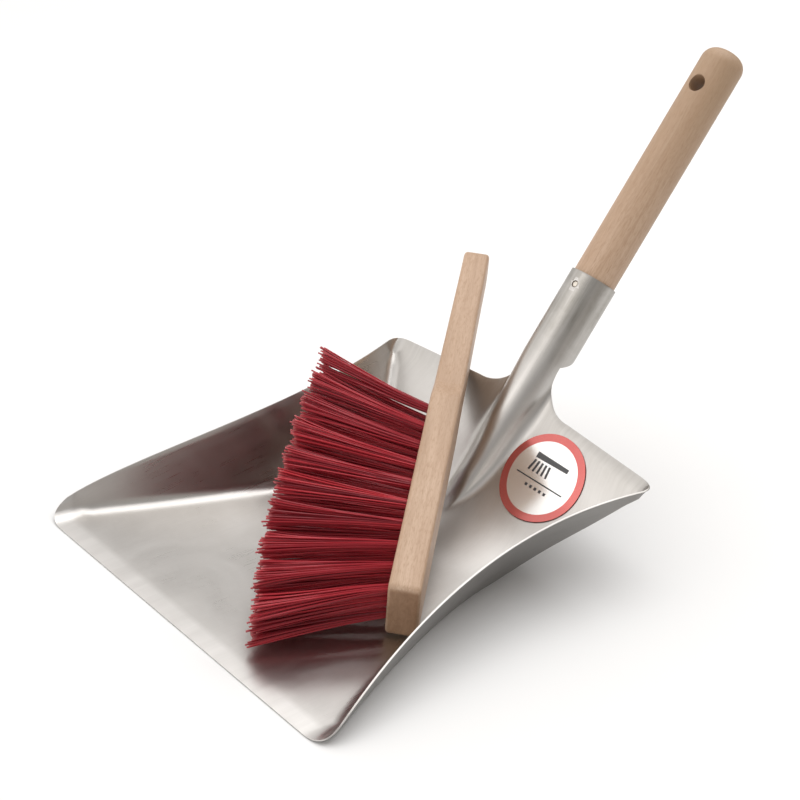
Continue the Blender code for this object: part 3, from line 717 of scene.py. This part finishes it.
def rib_top(s):
    """(y, n) points over the round top of the rib, from the ridge out to its side."""
    width, height = rib_scale(s)
    side_angle = min(RIB_SIDE_ANGLE, rib_fillet(s)[2])
    points = []
    for i in range(ARC_STEPS + 1):
        a = side_angle * i / ARC_STEPS
        y = TUBE_R * math.sin(a)
        n = TUBE_OFF + TUBE_R * math.cos(a)
        points.append((y * width, n * height))
    return points


def rib_side(s):
    """(y, n) points down the side of the rib and round the fillet to the foot on the panel."""
    width, height = rib_scale(s)
    fillet_r, dy, meet = rib_fillet(s)
    side_angle = min(RIB_SIDE_ANGLE, meet)
    points = [(TUBE_R * math.sin(side_angle), TUBE_OFF + TUBE_R * math.cos(side_angle))]
    if meet > side_angle:
        for i in range(1, RIB_SIDE_STEPS + 1):
            a = lerp(side_angle, meet, i / RIB_SIDE_STEPS)
            points.append((TUBE_R * math.sin(a), TUBE_OFF + TUBE_R * math.cos(a)))
    for i in range(1, RIB_FILLET_STEPS + 1):
        a = math.pi + meet * (1 - i / RIB_FILLET_STEPS)
        points.append((dy + fillet_r * math.sin(a), fillet_r + fillet_r * math.cos(a)))
    return [(y * width, n * height) for y, n in points]


def side_length(s):
    side = rib_side(s)
    return sum(math.dist(a, b) for a, b in zip(side, side[1:]))


def along_polyline(points, f):
    lengths = [0.0]
    for a, b in zip(points, points[1:]):
        lengths.append(lengths[-1] + math.dist(a, b))
    want = clamp(f, 0.0, 1.0) * lengths[-1]
    for i in range(1, len(points)):
        if want <= lengths[i] or i == len(points) - 1:
            g = (want - lengths[i - 1]) / (lengths[i] - lengths[i - 1])
            return tuple(lerp(p, q, g) for p, q in zip(points[i - 1], points[i]))
    return points[-1]


def across_panel(s, e):
    """(y, n) at distance e from the side of the rib, measured along the sheet."""
    side = rib_side(s)
    length = side_length(s)
    if e >= length:
        return side[-1][0] + e - length, 0.0
    return along_polyline(side, e / length)


def panel_distance(s, y):
    """Distance along the sheet from the side of the rib out to side offset y on the panel."""
    return side_length(s) + y - rib_side(s)[-1][0]


def tongue_half(s):
    """(y, n) points of the sheet beyond the neck, where it curls into the tube."""
    full = math.pi - SEAM_HALF_GAP / TUBE_R
    f = clamp((s - NECK_S) / WRAP_L, 0.0, 1.0)
    reach = lerp(RIB_SIDE_ANGLE, full, math.sin(f * math.pi / 2))
    points = []
    for i in range(ARC_STEPS + 1):
        a = reach * i / ARC_STEPS
        points.append((TUBE_R * math.sin(a), TUBE_OFF + TUBE_R * math.cos(a)))
    return points


def back_outline():
    """Back edge of the panel as (s, distance from the rib's side), from the neck to the ear."""
    points = []
    for i in range(NECK_FILLET_STEPS + 1):
        a = (math.pi / 2 + NECK_TILT) * i / NECK_FILLET_STEPS
        points.append((NECK_S - NECK_FILLET_R * math.sin(a), NECK_FILLET_R * (1 - math.cos(a))))
    s, y = ear_inner()
    points.append((s, panel_distance(s, y)))
    return points


def corner_bezier(a, corner, b, f):
    return a * (1 - f) ** 2 + corner * 2 * f * (1 - f) + b * f * f


def ear_inner():
    """Point (s, y) on the back edge where the rounding of the ear ends."""
    bend = math.pi / 2 + NECK_TILT
    s0 = NECK_S - NECK_FILLET_R * math.sin(bend)
    y0 = NECK_EDGE_Y + NECK_FILLET_R * (1 - math.cos(bend))
    f = 1 - EAR_ROUND / math.hypot(EAR_S - s0, EAR_Y - y0)
    return lerp(s0, EAR_S, f), lerp(y0, EAR_Y, f)


def crease_reach(t):
    wall = edge_point(matching_edge(t)) - crease_point(t)
    return min(CREASE_FILLET, wall.length * WALL_SHARE)


def crease_inner(t, reach):
    """Point (s, y) on the floor, a distance reach inside the crease."""
    s, y = crease_sy(t)
    s1, y1 = crease_sy(clamp(t + CURVE_STEP, 0, 1))
    s0, y0 = crease_sy(clamp(t - CURVE_STEP, 0, 1))
    length = math.hypot(s1 - s0, y1 - y0)
    return s + reach * (y1 - y0) / length, y - reach * (s1 - s0) / length


def side_strip(t, row, last):
    """Points of one row from the free edge down the wall and round the crease to the floor."""
    steps = WALL_STEPS + CREASE_STEPS
    top = edge_point(matching_edge(t))
    if row in (0, last):
        corner, end = on_pan(0.0, LIP_HALF), on_pan(0.0, LIP_HALF - LIP_ROUND)
        if row == last:
            corner, end = on_pan(EAR_S, EAR_Y), on_pan(*ear_inner())
        return [corner_bezier(top, corner, end, i / steps) for i in range(steps + 1)]
    base = crease_point(t)
    wall = top - base
    reach = crease_reach(t)
    inner = on_pan(*crease_inner(t, reach))
    start = base + wall.normalized() * reach
    points = [top.lerp(start, i / WALL_STEPS) for i in range(WALL_STEPS)]
    points += [corner_bezier(start, base, inner, i / CREASE_STEPS) for i in range(CREASE_STEPS + 1)]
    return points


def coons(bottom, top, left, right, q, r):
    """Point of the patch that joins four edge curves, at share q across and r along."""
    c00, c10 = bottom(0), bottom(1)
    c01, c11 = top(0), top(1)
    out = []
    for k in range(2):
        ruled_r = (1 - r) * bottom(q)[k] + r * top(q)[k]
        ruled_q = (1 - q) * left(r)[k] + q * right(r)[k]
        corners = (1 - q) * (1 - r) * c00[k] + q * (1 - r) * c10[k]
        corners += (1 - q) * r * c01[k] + q * r * c11[k]
        out.append(ruled_r + ruled_q - corners)
    return tuple(out)


def pan_half_rows():
    """Rows of the +Y half, each from the centre line out to the free edge."""
    params = [lerp(LIP_CORNER, EAR_CORNER, i / ROWS) for i in range(ROWS + 1)]
    last = ROWS
    inner = [(0.0, LIP_HALF - LIP_ROUND)]
    inner += [crease_inner(t, crease_reach(t)) for t in params[1:-1]]
    inner.append(ear_inner())
    split = min(i for i, (s, y) in enumerate(inner) if s > STRAIGHT_ROWS_S)
    outline = back_outline()
    s_split = inner[split][0]
    ends = [(s, panel_distance(s, y)) for s, y in inner]

    def left(r):
        return lerp(s_split, NECK_S, r), 0.0

    def right(r):
        f = split + r * (last - split)
        i = min(int(f), last - 1)
        return tuple(lerp(a, b, f - i) for a, b in zip(ends[i], ends[i + 1]))

    def bottom(q):
        return s_split, ends[split][1] * q

    def top(q):
        return along_polyline(outline, q)

    rows = []
    for i, t in enumerate(params):
        r = max(0.0, (i - split) / (last - split))
        s_mid = inner[i][0] if i <= split else left(r)[0]
        row = [on_pan(s_mid, y, n) for y, n in rib_top(s_mid)]
        for j in range(1, PANEL_STEPS):
            q = (j / PANEL_STEPS) ** PANEL_SPREAD
            if i <= split:
                s, e = lerp(s_mid, inner[i][0], q), ends[i][1] * q
            else:
                s, e = coons(bottom, top, left, right, q, r)
            row.append(on_pan(s, *across_panel(s, e)))
        row += reversed(side_strip(t, i, last))
        rows.append(row)
    return rows


def tongue_rows():
    rows = []
    s = NECK_S + WRAP_ROW
    while s < TUBE_END_S - TUBE_LAST_GAP:
        rows.append([on_pan(s, y, n) for y, n in tongue_half(s)])
        s += WRAP_ROW if s < NECK_S + WRAP_L + 2.0 else TUBE_ROW
    rows.append([on_pan(TUBE_END_S, y, n) for y, n in tongue_half(TUBE_END_S)])
    return rows


def pan_solid():
    """The whole sheet as a closed bmesh, thinner towards the lip."""
    bm = bmesh.new()
    sheet = bm.verts.layers.float_vector.new("sheet")
    grid = []
    for half in pan_half_rows() + tongue_rows():
        right = [bm.verts.new(p) for p in half]
        left = [bm.verts.new((p.x, -p.y, p.z)) for p in half[1:]]
        across = 0.0
        for before, p, v in zip(half, half[1:], right[1:]):
            across += (p - before).length
            v[sheet] = (0.0, across * MM, 0.0)
        for v, twin in zip(left, right[1:]):
            v[sheet] = (0.0, -twin[sheet].y, 0.0)
        grid.append(list(reversed(left)) + right)
    middle = [row[len(row) // 2] for row in grid]
    run = 0.0
    for row, before, here in zip(grid, [middle[0]] + middle, middle):
        run += (here.co - before.co).length
        for v in row:
            v[sheet] = (run * MM, v[sheet].y, 0.0)
    for low, high in zip(grid, grid[1:]):
        trim = (len(low) - len(high)) // 2
        part = low[trim:len(low) - trim]
        for a, b, c, d in zip(part, part[1:], high[1:], high):
            bm.faces.new((d, c, b, a))
    bm.normal_update()
    upper = {}
    lower = {}
    boundary = [e for e in bm.edges if e.is_boundary]
    faces = [list(f.verts) for f in bm.faces]
    for v in list(bm.verts):
        n = v.normal.copy()
        f = clamp(v.co.x / LIP_BAND, 0.0, 1.0)
        top_half = lerp(LIP_T - SHEET_T / 2, SHEET_T / 2, f)
        upper[v] = bm.verts.new(v.co + n * top_half)
        lower[v] = bm.verts.new(v.co - n * SHEET_T / 2)
        upper[v][sheet] = v[sheet]
        lower[v][sheet] = v[sheet] + Vector((0.0, 0.0, UNDERSIDE_MARK))
    pairs = []
    for e in boundary:
        loop = e.link_loops[0]
        pairs.append((loop.vert, loop.link_loop_next.vert))
    for verts in faces:
        bm.faces.new([upper[v] for v in verts])
        bm.faces.new([lower[v] for v in reversed(verts)])
    for a, b in pairs:
        bm.faces.new((upper[b], upper[a], lower[a], lower[b]))
    for v in list(upper):
        bm.verts.remove(v)
    return bm


# ---------------------------------------------------------------- pan pieces

def handle_frame(s):
    """Matrix at length s on the tube axis: Z square to the axis (up), Y across, X along it."""
    _, _, a = spine(s)
    along = Vector((math.cos(a), 0.0, math.sin(a)))
    up = Vector((-math.sin(a), 0.0, math.cos(a)))
    across = up.cross(along)
    m = Matrix((along, across, up)).transposed().to_4x4()
    m.translation = on_pan(s, 0.0, TUBE_OFF)
    return m


def build_pan(steel):
    obj = make_object("pan_body", pan_solid(), [steel])
    hole = revolve([(PIN_HOLE_R, end) for end in PIN_HOLE_SPAN], SMALL_HOLE_SIDES)
    cut_with(obj, make_object("hole_cutter", hole, [steel], handle_frame(PIN_S)))
    round_edges(obj, EDGE_ROUNDING)
    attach(obj, "pan")
    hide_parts("pan_sheet")


def build_handle(wood):
    length = HANDLE_TIP_S - HANDLE_START_S
    hole_x = HANG_HOLE_S - HANDLE_START_S
    profile = [(0.0, 0.0),
               (HANDLE_R - HANDLE_CHAMFER, 0.0),
               (HANDLE_R - HANDLE_CHAMFER_MID, HANDLE_CHAMFER_MID),
               (HANDLE_R, HANDLE_CHAMFER)]
    x = HANDLE_RING_STEP
    while x < length - HANDLE_DOME - 1.0:
        profile.append((HANDLE_R, x))
        x += HANDLE_FINE_STEP if abs(x - hole_x) < HANDLE_FINE_REACH else HANDLE_RING_STEP
    for a in quarter_turn(HANDLE_DOME_STEPS):
        z = length - HANDLE_DOME + HANDLE_DOME * math.sin(a)
        profile.append((HANDLE_R * max(0.0, math.cos(a)) ** HANDLE_DOME_POWER, z))
    profile[-1] = (0.0, length)
    bm = revolve(profile, ROUND_SIDES)
    turn = Matrix.Rotation(math.pi / 2, 4, "Y")
    bmesh.ops.transform(bm, matrix=turn, verts=bm.verts)
    obj = make_object("wood_handle", bm, [wood], handle_frame(HANDLE_START_S))
    rim = []
    for a in quarter_turn(HANG_RIM_STEPS):
        wider = (HANG_RIM_R - HANG_HOLE_R) * (1 - math.cos(a))
        rim.append((HANG_HOLE_R + wider, HANDLE_R - HANG_RIM_DEPTH + HANG_RIM_DEPTH * math.sin(a)))
    rim.append((HANG_RIM_R + HANG_CUTTER_SPREAD, HANDLE_R + HANG_CUTTER_PAST))
    hole = revolve([(r, -z) for r, z in reversed(rim)] + rim, HANG_HOLE_SIDES)
    cut_with(obj, make_object("hang_cutter", hole, [wood], handle_frame(HANG_HOLE_S)))
    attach(obj, "pan")
    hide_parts("pan_handle")


def build_nail(metal):
    low = HANDLE_R - PIN_DEPTH
    head = HANDLE_R + PIN_HEAD_LIFT
    profile = [(0.0, low - PIN_POINT_L),
               (PIN_R, low),
               (PIN_R, head),
               (PIN_HEAD_R * PIN_HEAD_FACE, head),
               (PIN_HEAD_R, head + PIN_HEAD_EASE)]
    for a in quarter_turn(PIN_HEAD_STEPS):
        profile.append((PIN_HEAD_R * math.cos(a), head + PIN_HEAD_RIM + PIN_HEAD_DOME * math.sin(a)))
    profile[-1] = (0.0, head + PIN_HEAD_RIM + PIN_HEAD_DOME)
    obj = make_object("nail", revolve(profile, NAIL_SIDES), [metal], handle_frame(PIN_S))
    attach(obj, "pan")
    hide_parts("handle_pin")


def label_point(u, v, n):
    return on_pan(LABEL_S + u, LABEL_Y + v, SHEET_T / 2 + n)


def label_ring(bm, r, n):
    turns = [2 * math.pi * i / ROUND_SIDES for i in range(ROUND_SIDES)]
    return [bm.verts.new(label_point(r * math.cos(a), r * math.sin(a), n)) for a in turns]


def build_label(face, ring):
    """Round sticker that follows the sheet, with a coloured ring round a plain middle."""
    bm = bmesh.new()
    low_n, high_n = LABEL_LIFT, LABEL_LIFT + LABEL_T
    count = LABEL_MIDDLE_RINGS
    radii = [LABEL_RING_R * i / count for i in range(1, count + 1)]
    count = LABEL_BAND_RINGS
    radii += [lerp(LABEL_RING_R, LABEL_R - LABEL_EDGE, i / count) for i in range(1, count + 1)]
    levels = []
    for n in (low_n, high_n):
        centre = bm.verts.new(label_point(0.0, 0.0, n))
        levels.append((centre, [label_ring(bm, r, n) for r in radii]))
    skirt = label_ring(bm, LABEL_R, (low_n + high_n) / 2)
    for centre, rings in levels:
        for i in range(ROUND_SIDES):
            j = (i + 1) % ROUND_SIDES
            bm.faces.new((centre, rings[0][i], rings[0][j]))
            for r, inner, outer in zip(radii, rings, rings[1:]):
                f = bm.faces.new((inner[i], outer[i], outer[j], inner[j]))
                f.material_index = 1 if r >= LABEL_RING_R - 0.01 else 0
    for i in range(ROUND_SIDES):
        j = (i + 1) % ROUND_SIDES
        for _, rings in levels:
            f = bm.faces.new((rings[-1][i], skirt[i], skirt[j], rings[-1][j]))
            f.material_index = 1
    obj = make_object("sticker", bm, [face, ring])
    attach(obj, "pan")
    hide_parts("label")


def sign_bar(bm, u0, v0, u1, v1, w0, w1):
    """Raised bar on the sticker from (u0, v0) to (u1, v1), w0 wide at its start and w1 at its end."""
    low_n = LABEL_LIFT + LABEL_T + SIGN_GAP
    high_n = low_n + SIGN_T
    along = Vector((u1 - u0, v1 - v0)).normalized()
    side = Vector((-along.y, along.x))
    loops = []
    for i in range(SIGN_STEPS + 1):
        f = i / SIGN_STEPS
        mid = Vector((lerp(u0, u1, f), lerp(v0, v1, f)))
        w = lerp(w0, w1, f) / 2
        corners = ((-w, low_n), (w, low_n), (w, high_n), (-w, high_n))
        loops.append([bm.verts.new(label_point(*(mid + side * off), n)) for off, n in corners])
    for low, high in zip(loops, loops[1:]):
        close_ring(bm, low, high)
    bm.faces.new(reversed(loops[0]))
    bm.faces.new(loops[-1])


def build_mark(ink):
    """A plain hand-brush sign: a bar with five strokes under it, a rule and five squares."""
    bm = bmesh.new()
    sign_bar(bm, *SIGN_BACK)
    for k in range(SIGN_COUNT):
        v = STROKE_FIRST_V - STROKE_PITCH * k
        splay = STROKE_SPLAY * (k - (SIGN_COUNT - 1) / 2)
        sign_bar(bm, STROKE_U[0], v, STROKE_U[1], v - splay, STROKE_W, STROKE_W)
    sign_bar(bm, *SIGN_RULE)
    for k in range(SIGN_COUNT):
        v = SQUARE_FIRST_V - SQUARE_PITCH * k
        sign_bar(bm, SQUARE_U[0], v, SQUARE_U[1], v, SQUARE_W, SQUARE_W)
    obj = make_object("sticker_sign", bm, [ink])
    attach(obj, "pan")


# ---------------------------------------------------------------- brush

def brush_matrix():
    """Brush frame: X along the block from nose to grip, Y across (up as it lies), Z to its back."""
    along = Vector((math.cos(BRUSH_YAW) * math.cos(BRUSH_RISE),
                    math.sin(BRUSH_YAW) * math.cos(BRUSH_RISE),
                    math.sin(BRUSH_RISE)))
    back = Vector((math.sin(BRUSH_YAW), -math.cos(BRUSH_YAW), 0.0))
    across = back.cross(along)
    m = Matrix((along, across, back)).transposed().to_4x4()
    m.translation = Vector(BRUSH_NOSE)
    return m


def block_half_width(x):
    return lerp(BLOCK_HALF_W, GRIP_HALF_W, smooth((x - SHOULDER_START) / (SHOULDER_END - SHOULDER_START)))


def block_outline():
    """Closed plan outline of the block as (point, outward normal) pairs."""
    side = []
    for a in quarter_turn(NOSE_CORNER_STEPS):
        x = NOSE_CORNER_R * (1 - math.cos(a))
        y = BLOCK_HALF_W - NOSE_CORNER_R * (1 - math.sin(a))
        side.append(Vector((x, y)))
    x = OUTLINE_FIRST
    while x < BLOCK_L - END_CORNER_R - OUTLINE_LAST_GAP:
        side.append(Vector((x, block_half_width(x))))
        at_shoulder = SHOULDER_START - SHOULDER_MARGIN < x < SHOULDER_END + SHOULDER_MARGIN
        x += OUTLINE_FINE_STEP if at_shoulder else OUTLINE_STEP
    for a in quarter_turn(END_CORNER_STEPS):
        x = BLOCK_L - END_CORNER_R * (1 - math.sin(a))
        y = GRIP_HALF_W - END_CORNER_R * (1 - math.cos(a))
        side.append(Vector((x, y)))
    loop = side + [Vector((p.x, -p.y)) for p in reversed(side)]
    count = len(loop)
    result = []
    for i, p in enumerate(loop):
        before = (p - loop[i - 1]).normalized()
        after = (loop[(i + 1) % count] - p).normalized()
        along = (before + after).normalized()
        result.append((p, Vector((-along.y, along.x))))
    return result


def block_faces(x):
    """Heights of the bristle face and the back face at length x."""
    thin = GRIP_THIN * smooth((x - SHOULDER_START) / (BLOCK_L - SHOULDER_START))
    return thin, BLOCK_T - thin


def tuft_roots():
    for col in range(TUFT_COLS):
        for row in range(TUFT_ROWS):
            x = TUFT_FIRST_L + TUFT_PITCH_L * col
            y = TUFT_PITCH_W * ((TUFT_ROWS - 1) / 2 - row)
            yield col, row, x, y


def build_block(wood, bore):
    bm = bmesh.new()
    outline = block_outline()
    turns = quarter_turn(BLOCK_EDGE_STEPS)
    levels = [(BLOCK_EDGE_R * (1 - math.sin(a)), BLOCK_EDGE_R * (1 - math.cos(a))) for a in turns]
    rings = []
    for inset, rise in levels:
        rings.append([bm.verts.new((*(p - n * inset), block_faces(p.x)[0] + rise)) for p, n in outline])
    for inset, rise in reversed(levels):
        rings.append([bm.verts.new((*(p - n * inset), block_faces(p.x)[1] - rise)) for p, n in outline])
    count = len(outline)
    for low, high in zip(rings, rings[1:]):
        close_ring(bm, low, high)
    for ring in (rings[0], rings[-1]):
        for i in range(count // 2 - 1):
            j = count - 1 - i
            bm.faces.new((ring[i], ring[i + 1], ring[j - 1], ring[j]))
    place = brush_matrix()
    obj = make_object("brush_body", bm, [wood, bore], place)
    holes = bmesh.new()
    profile = [(TUFT_HOLE_R + TUFT_HOLE_FLARE, -TUFT_CUTTER_PAST),
               (TUFT_HOLE_R, TUFT_HOLE_FLARE_DEPTH),
               (TUFT_HOLE_R, TUFT_HOLE_DEPTH)]
    for _, _, x, y in tuft_roots():
        hole = revolve(profile, SMALL_HOLE_SIDES)
        bmesh.ops.recalc_face_normals(hole, faces=hole.faces)
        bmesh.ops.translate(hole, vec=(x, y, 0.0), verts=hole.verts)
        part = bpy.data.meshes.new("hole")
        hole.to_mesh(part)
        hole.free()
        holes.from_mesh(part)
        bpy.data.meshes.remove(part)
    for f in holes.faces:
        f.material_index = 1
    cut_with(obj, make_object("holes_cutter", holes, [wood, bore], place))
    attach(obj, "brush")
    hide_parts("brush_block")


def tip_centres(col):
    """Tip centres of one column of tufts in the brush frame, kept clear of the pan's floor."""
    mid = TUFT_FIRST_L + TUFT_PITCH_L * (TUFT_COLS - 1) / 2
    root = TUFT_FIRST_L + TUFT_PITCH_L * col
    fan = TUFT_FAN_NOSE if root < mid else TUFT_FAN_GRIP
    splay = (root - mid) * (fan - 1.0)
    drop = -math.sqrt(TUFT_FREE_L ** 2 - splay ** 2)
    m = brush_matrix()
    lowest = m @ Vector((root + splay - TUFT_TIP_L, 0.0, drop))
    floor_y = (SHEET_T + TUFT_FLOOR_GAP - lowest.z) / m.col[1].z + TUFT_TIP_W
    ys = []
    for row in reversed(range(TUFT_ROWS)):
        y = TUFT_FAN_W * TUFT_PITCH_W * ((TUFT_ROWS - 1) / 2 - row)
        if ys:
            floor_y = ys[-1] + 2 * TUFT_TIP_W + TUFT_ROW_GAP
        ys.append(max(y, floor_y))
    return [Vector((root + splay, y, drop)) for y in reversed(ys)]


def filament_points(rng, root, tip, middle, place):
    """Points of one filament: gathered with the tuft's middle, then easing out to its own tip."""
    leave = root.lerp(tip, FILAMENT_LEAVE)
    leave.x = lerp(root.x, leave.x, FILAMENT_LEAVE_SPLAY)
    bow = Vector((rng.gauss(0.0, FILAMENT_BOW[0]), rng.gauss(0.0, FILAMENT_BOW[1]), 0.0))
    arrive = tip.lerp(root, FILAMENT_ARRIVE) + bow
    arrive = arrive.lerp(middle, FILAMENT_GATHER)
    points = [root + Vector((0.0, 0.0, FILAMENT_IN_HOLE))]
    for i in range(FILAMENT_STEPS + 1):
        points.append(Vector(bezier((root, leave, arrive, tip), i / FILAMENT_STEPS)))
    for p in points:
        lift = SHEET_T + FILAMENT_R + FILAMENT_FLOOR_GAP - (place @ p).z
        if lift > 0.0:
            p.y += lift / place.col[1].z
    return points


def add_filament(bm, points, shade, layers):
    """Thin tube along the points; every vertex holds its filament's shade and its place along it."""
    shade_layer, along_layer = layers
    rings = []
    last = len(points) - 1
    for i, p in enumerate(points):
        ahead = points[min(i + 1, last)] - points[max(i - 1, 0)]
        side = ahead.cross(Vector((1.0, 0.0, 0.0))).normalized()
        other = ahead.cross(side).normalized()
        ring = []
        for k in range(FILAMENT_SIDES):
            a = 2 * math.pi * k / FILAMENT_SIDES
            v = bm.verts.new(p + (side * math.cos(a) + other * math.sin(a)) * FILAMENT_R)
            v[shade_layer] = shade
            v[along_layer] = i / last
            ring.append(v)
        rings.append(ring)
    for low, high in zip(rings, rings[1:]):
        close_ring(bm, low, high)
    bm.faces.new(rings[0])
    bm.faces.new(reversed(rings[-1]))


def build_tuft(col, row, x, y, material):
    """One tuft of separate filaments, gathered in its hole and fanned out at the tips."""
    rng = random.Random(1000 * col + row)
    place = brush_matrix()
    tip_middle = tip_centres(col)[row]
    middle = tip_middle.lerp(Vector((x, y, 0.0)), FILAMENT_ARRIVE)
    bm = bmesh.new()
    layers = (bm.verts.layers.float.new("shade"), bm.verts.layers.float.new("along"))
    root_r = TUFT_ROOT_R - FILAMENT_R
    golden = math.pi * (3.0 - math.sqrt(5.0))
    twist = rng.uniform(0.0, 2 * math.pi)
    for k in range(FILAMENTS):
        r = math.sqrt((k + 0.5) / FILAMENTS)
        a = golden * k + twist
        u, v = r * math.cos(a), r * math.sin(a)
        root = Vector((x + root_r * u, y + root_r * v, 0.0))
        out_u = clamp(u + rng.gauss(0.0, FILAMENT_SPREAD), -FILAMENT_SPREAD_MAX, FILAMENT_SPREAD_MAX)
        out_v = clamp(v + rng.gauss(0.0, FILAMENT_SPREAD), -FILAMENT_SPREAD_MAX, FILAMENT_SPREAD_MAX)
        length = rng.gauss(0.0, FILAMENT_LENGTH)
        if rng.random() < STRAY_SHARE:
            length += rng.uniform(*STRAY_LENGTH)
        length = clamp(length, -FILAMENT_LENGTH_MAX, FILAMENT_LENGTH_MAX)
        tip = tip_middle + Vector((TUFT_TIP_L * out_u, TUFT_TIP_W * out_v, length))
        shade = clamp(SHADE_MIDDLE + rng.gauss(0.0, SHADE_SPREAD), 0.0, 1.0)
        add_filament(bm, filament_points(rng, root, tip, middle, place), shade, layers)
    obj = make_object(f"bristles_{col + 1:02d}_{row + 1}", bm, [material], place, 60.0)
    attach(obj, "brush")
    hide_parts(f"tuft_{col + 1:02d}_{row + 1}")


# ---------------------------------------------------------------- studio

def build_floor():
    bm = bmesh.new()
    bmesh.ops.create_grid(bm, x_segments=2, y_segments=2, size=FLOOR_HALF)
    mesh = bpy.data.meshes.new("studio_floor")
    bm.to_mesh(mesh)
    bm.free()
    n = Nodes("studio_floor", roughness=0.9)
    cloud = n.noise(n.coords(), 2.0, 2.0)
    mesh.materials.append(n.finish(n.ramp(cloud, FLOOR_CLOUDS)))
    floor = add_to_scene("studio_floor", mesh)
    floor.location.z = cad_low.z - FLOOR_DROP


def area_light(name, position, target, size, power, colour=(1.0, 1.0, 1.0)):
    light = bpy.data.lights.new(name, "AREA")
    light.shape = "SQUARE"
    light.size = size
    light.energy = power
    light.color = colour
    obj = add_to_scene(name, light)
    obj.location = position
    aim = Vector(target) - Vector(position)
    obj.rotation_euler = aim.to_track_quat("-Z", "Y").to_euler()


def build_world():
    """Soft surround: pale to the rear and left, darker and warm towards the right and front."""
    world = bpy.data.worlds.new("studio")
    bpy.context.scene.world = world
    world.use_nodes = True
    nodes, links = world.node_tree.nodes, world.node_tree.links
    background = nodes["Background"]
    coords = nodes.new("ShaderNodeTexCoord")
    # Half the dot product plus a half runs from 0 to 1 along the axis.
    dot = nodes.new("ShaderNodeVectorMath")
    dot.operation = "DOT_PRODUCT"
    dot.inputs[1].default_value = Vector(WORLD_AXIS).normalized() / 2
    links.new(coords.outputs["Generated"], dot.inputs[0])
    shift = nodes.new("ShaderNodeMath")
    shift.inputs[1].default_value = 0.5
    links.new(dot.outputs["Value"], shift.inputs[0])
    ramp = nodes.new("ShaderNodeValToRGB")
    while len(ramp.color_ramp.elements) < len(WORLD_STOPS):
        ramp.color_ramp.elements.new(0.5)
    for element, (position, level, warmth) in zip(ramp.color_ramp.elements, WORLD_STOPS):
        element.position = position
        element.color = (level, level * warmth, level * warmth * warmth, 1.0)
    links.new(shift.outputs["Value"], ramp.inputs["Fac"])
    links.new(ramp.outputs["Color"], background.inputs["Color"])
    background.inputs["Strength"].default_value = 1.0


def build_camera():
    camera = bpy.data.cameras.new("camera")
    camera.sensor_width = 36.0
    camera.lens = CAMERA_LENS
    camera.clip_start, camera.clip_end = CAMERA_CLIP
    obj = add_to_scene("camera", camera)
    right, up = Vector(CAMERA_RIGHT), Vector(CAMERA_UP)
    m = Matrix((right, up, right.cross(up))).transposed().to_4x4()
    m.translation = CAMERA_POSITION
    obj.matrix_world = m
    bpy.context.scene.camera = obj


def main():
    build_pan(steel_material())
    build_handle(wood_material("beech_handle", end_grain=False))
    build_nail(nail_material())
    build_label(print_material("film_white", FILM_WHITE, FILM_WHITE_WORN, 0.15, 0.85),
                print_material("film_red", FILM_RED, FILM_RED_WORN, 0.16, 0.75))
    build_mark(print_material("film_ink", FILM_INK, FILM_INK_WORN, 0.3))
    build_block(wood_material("beech_block", end_grain=True),
                wood_material("beech_bore", end_grain=False))
    bristle = bristle_material()
    for col, row, x, y in tuft_roots():
        build_tuft(col, row, x, y, bristle)
    build_floor()
    build_world()
    area_light("key", position=(-1.3, 0.5, 0.9), target=(0.1, 0.0, 0.15),
               size=1.0, power=2.5, colour=(1.0, 0.985, 0.96))
    area_light("top", position=(0.78, 0.1, 1.75), target=(0.05, 0.0, 0.0), size=2.1, power=24.0)
    build_camera()
    bpy.context.scene.view_settings.view_transform = "Standard"


main()
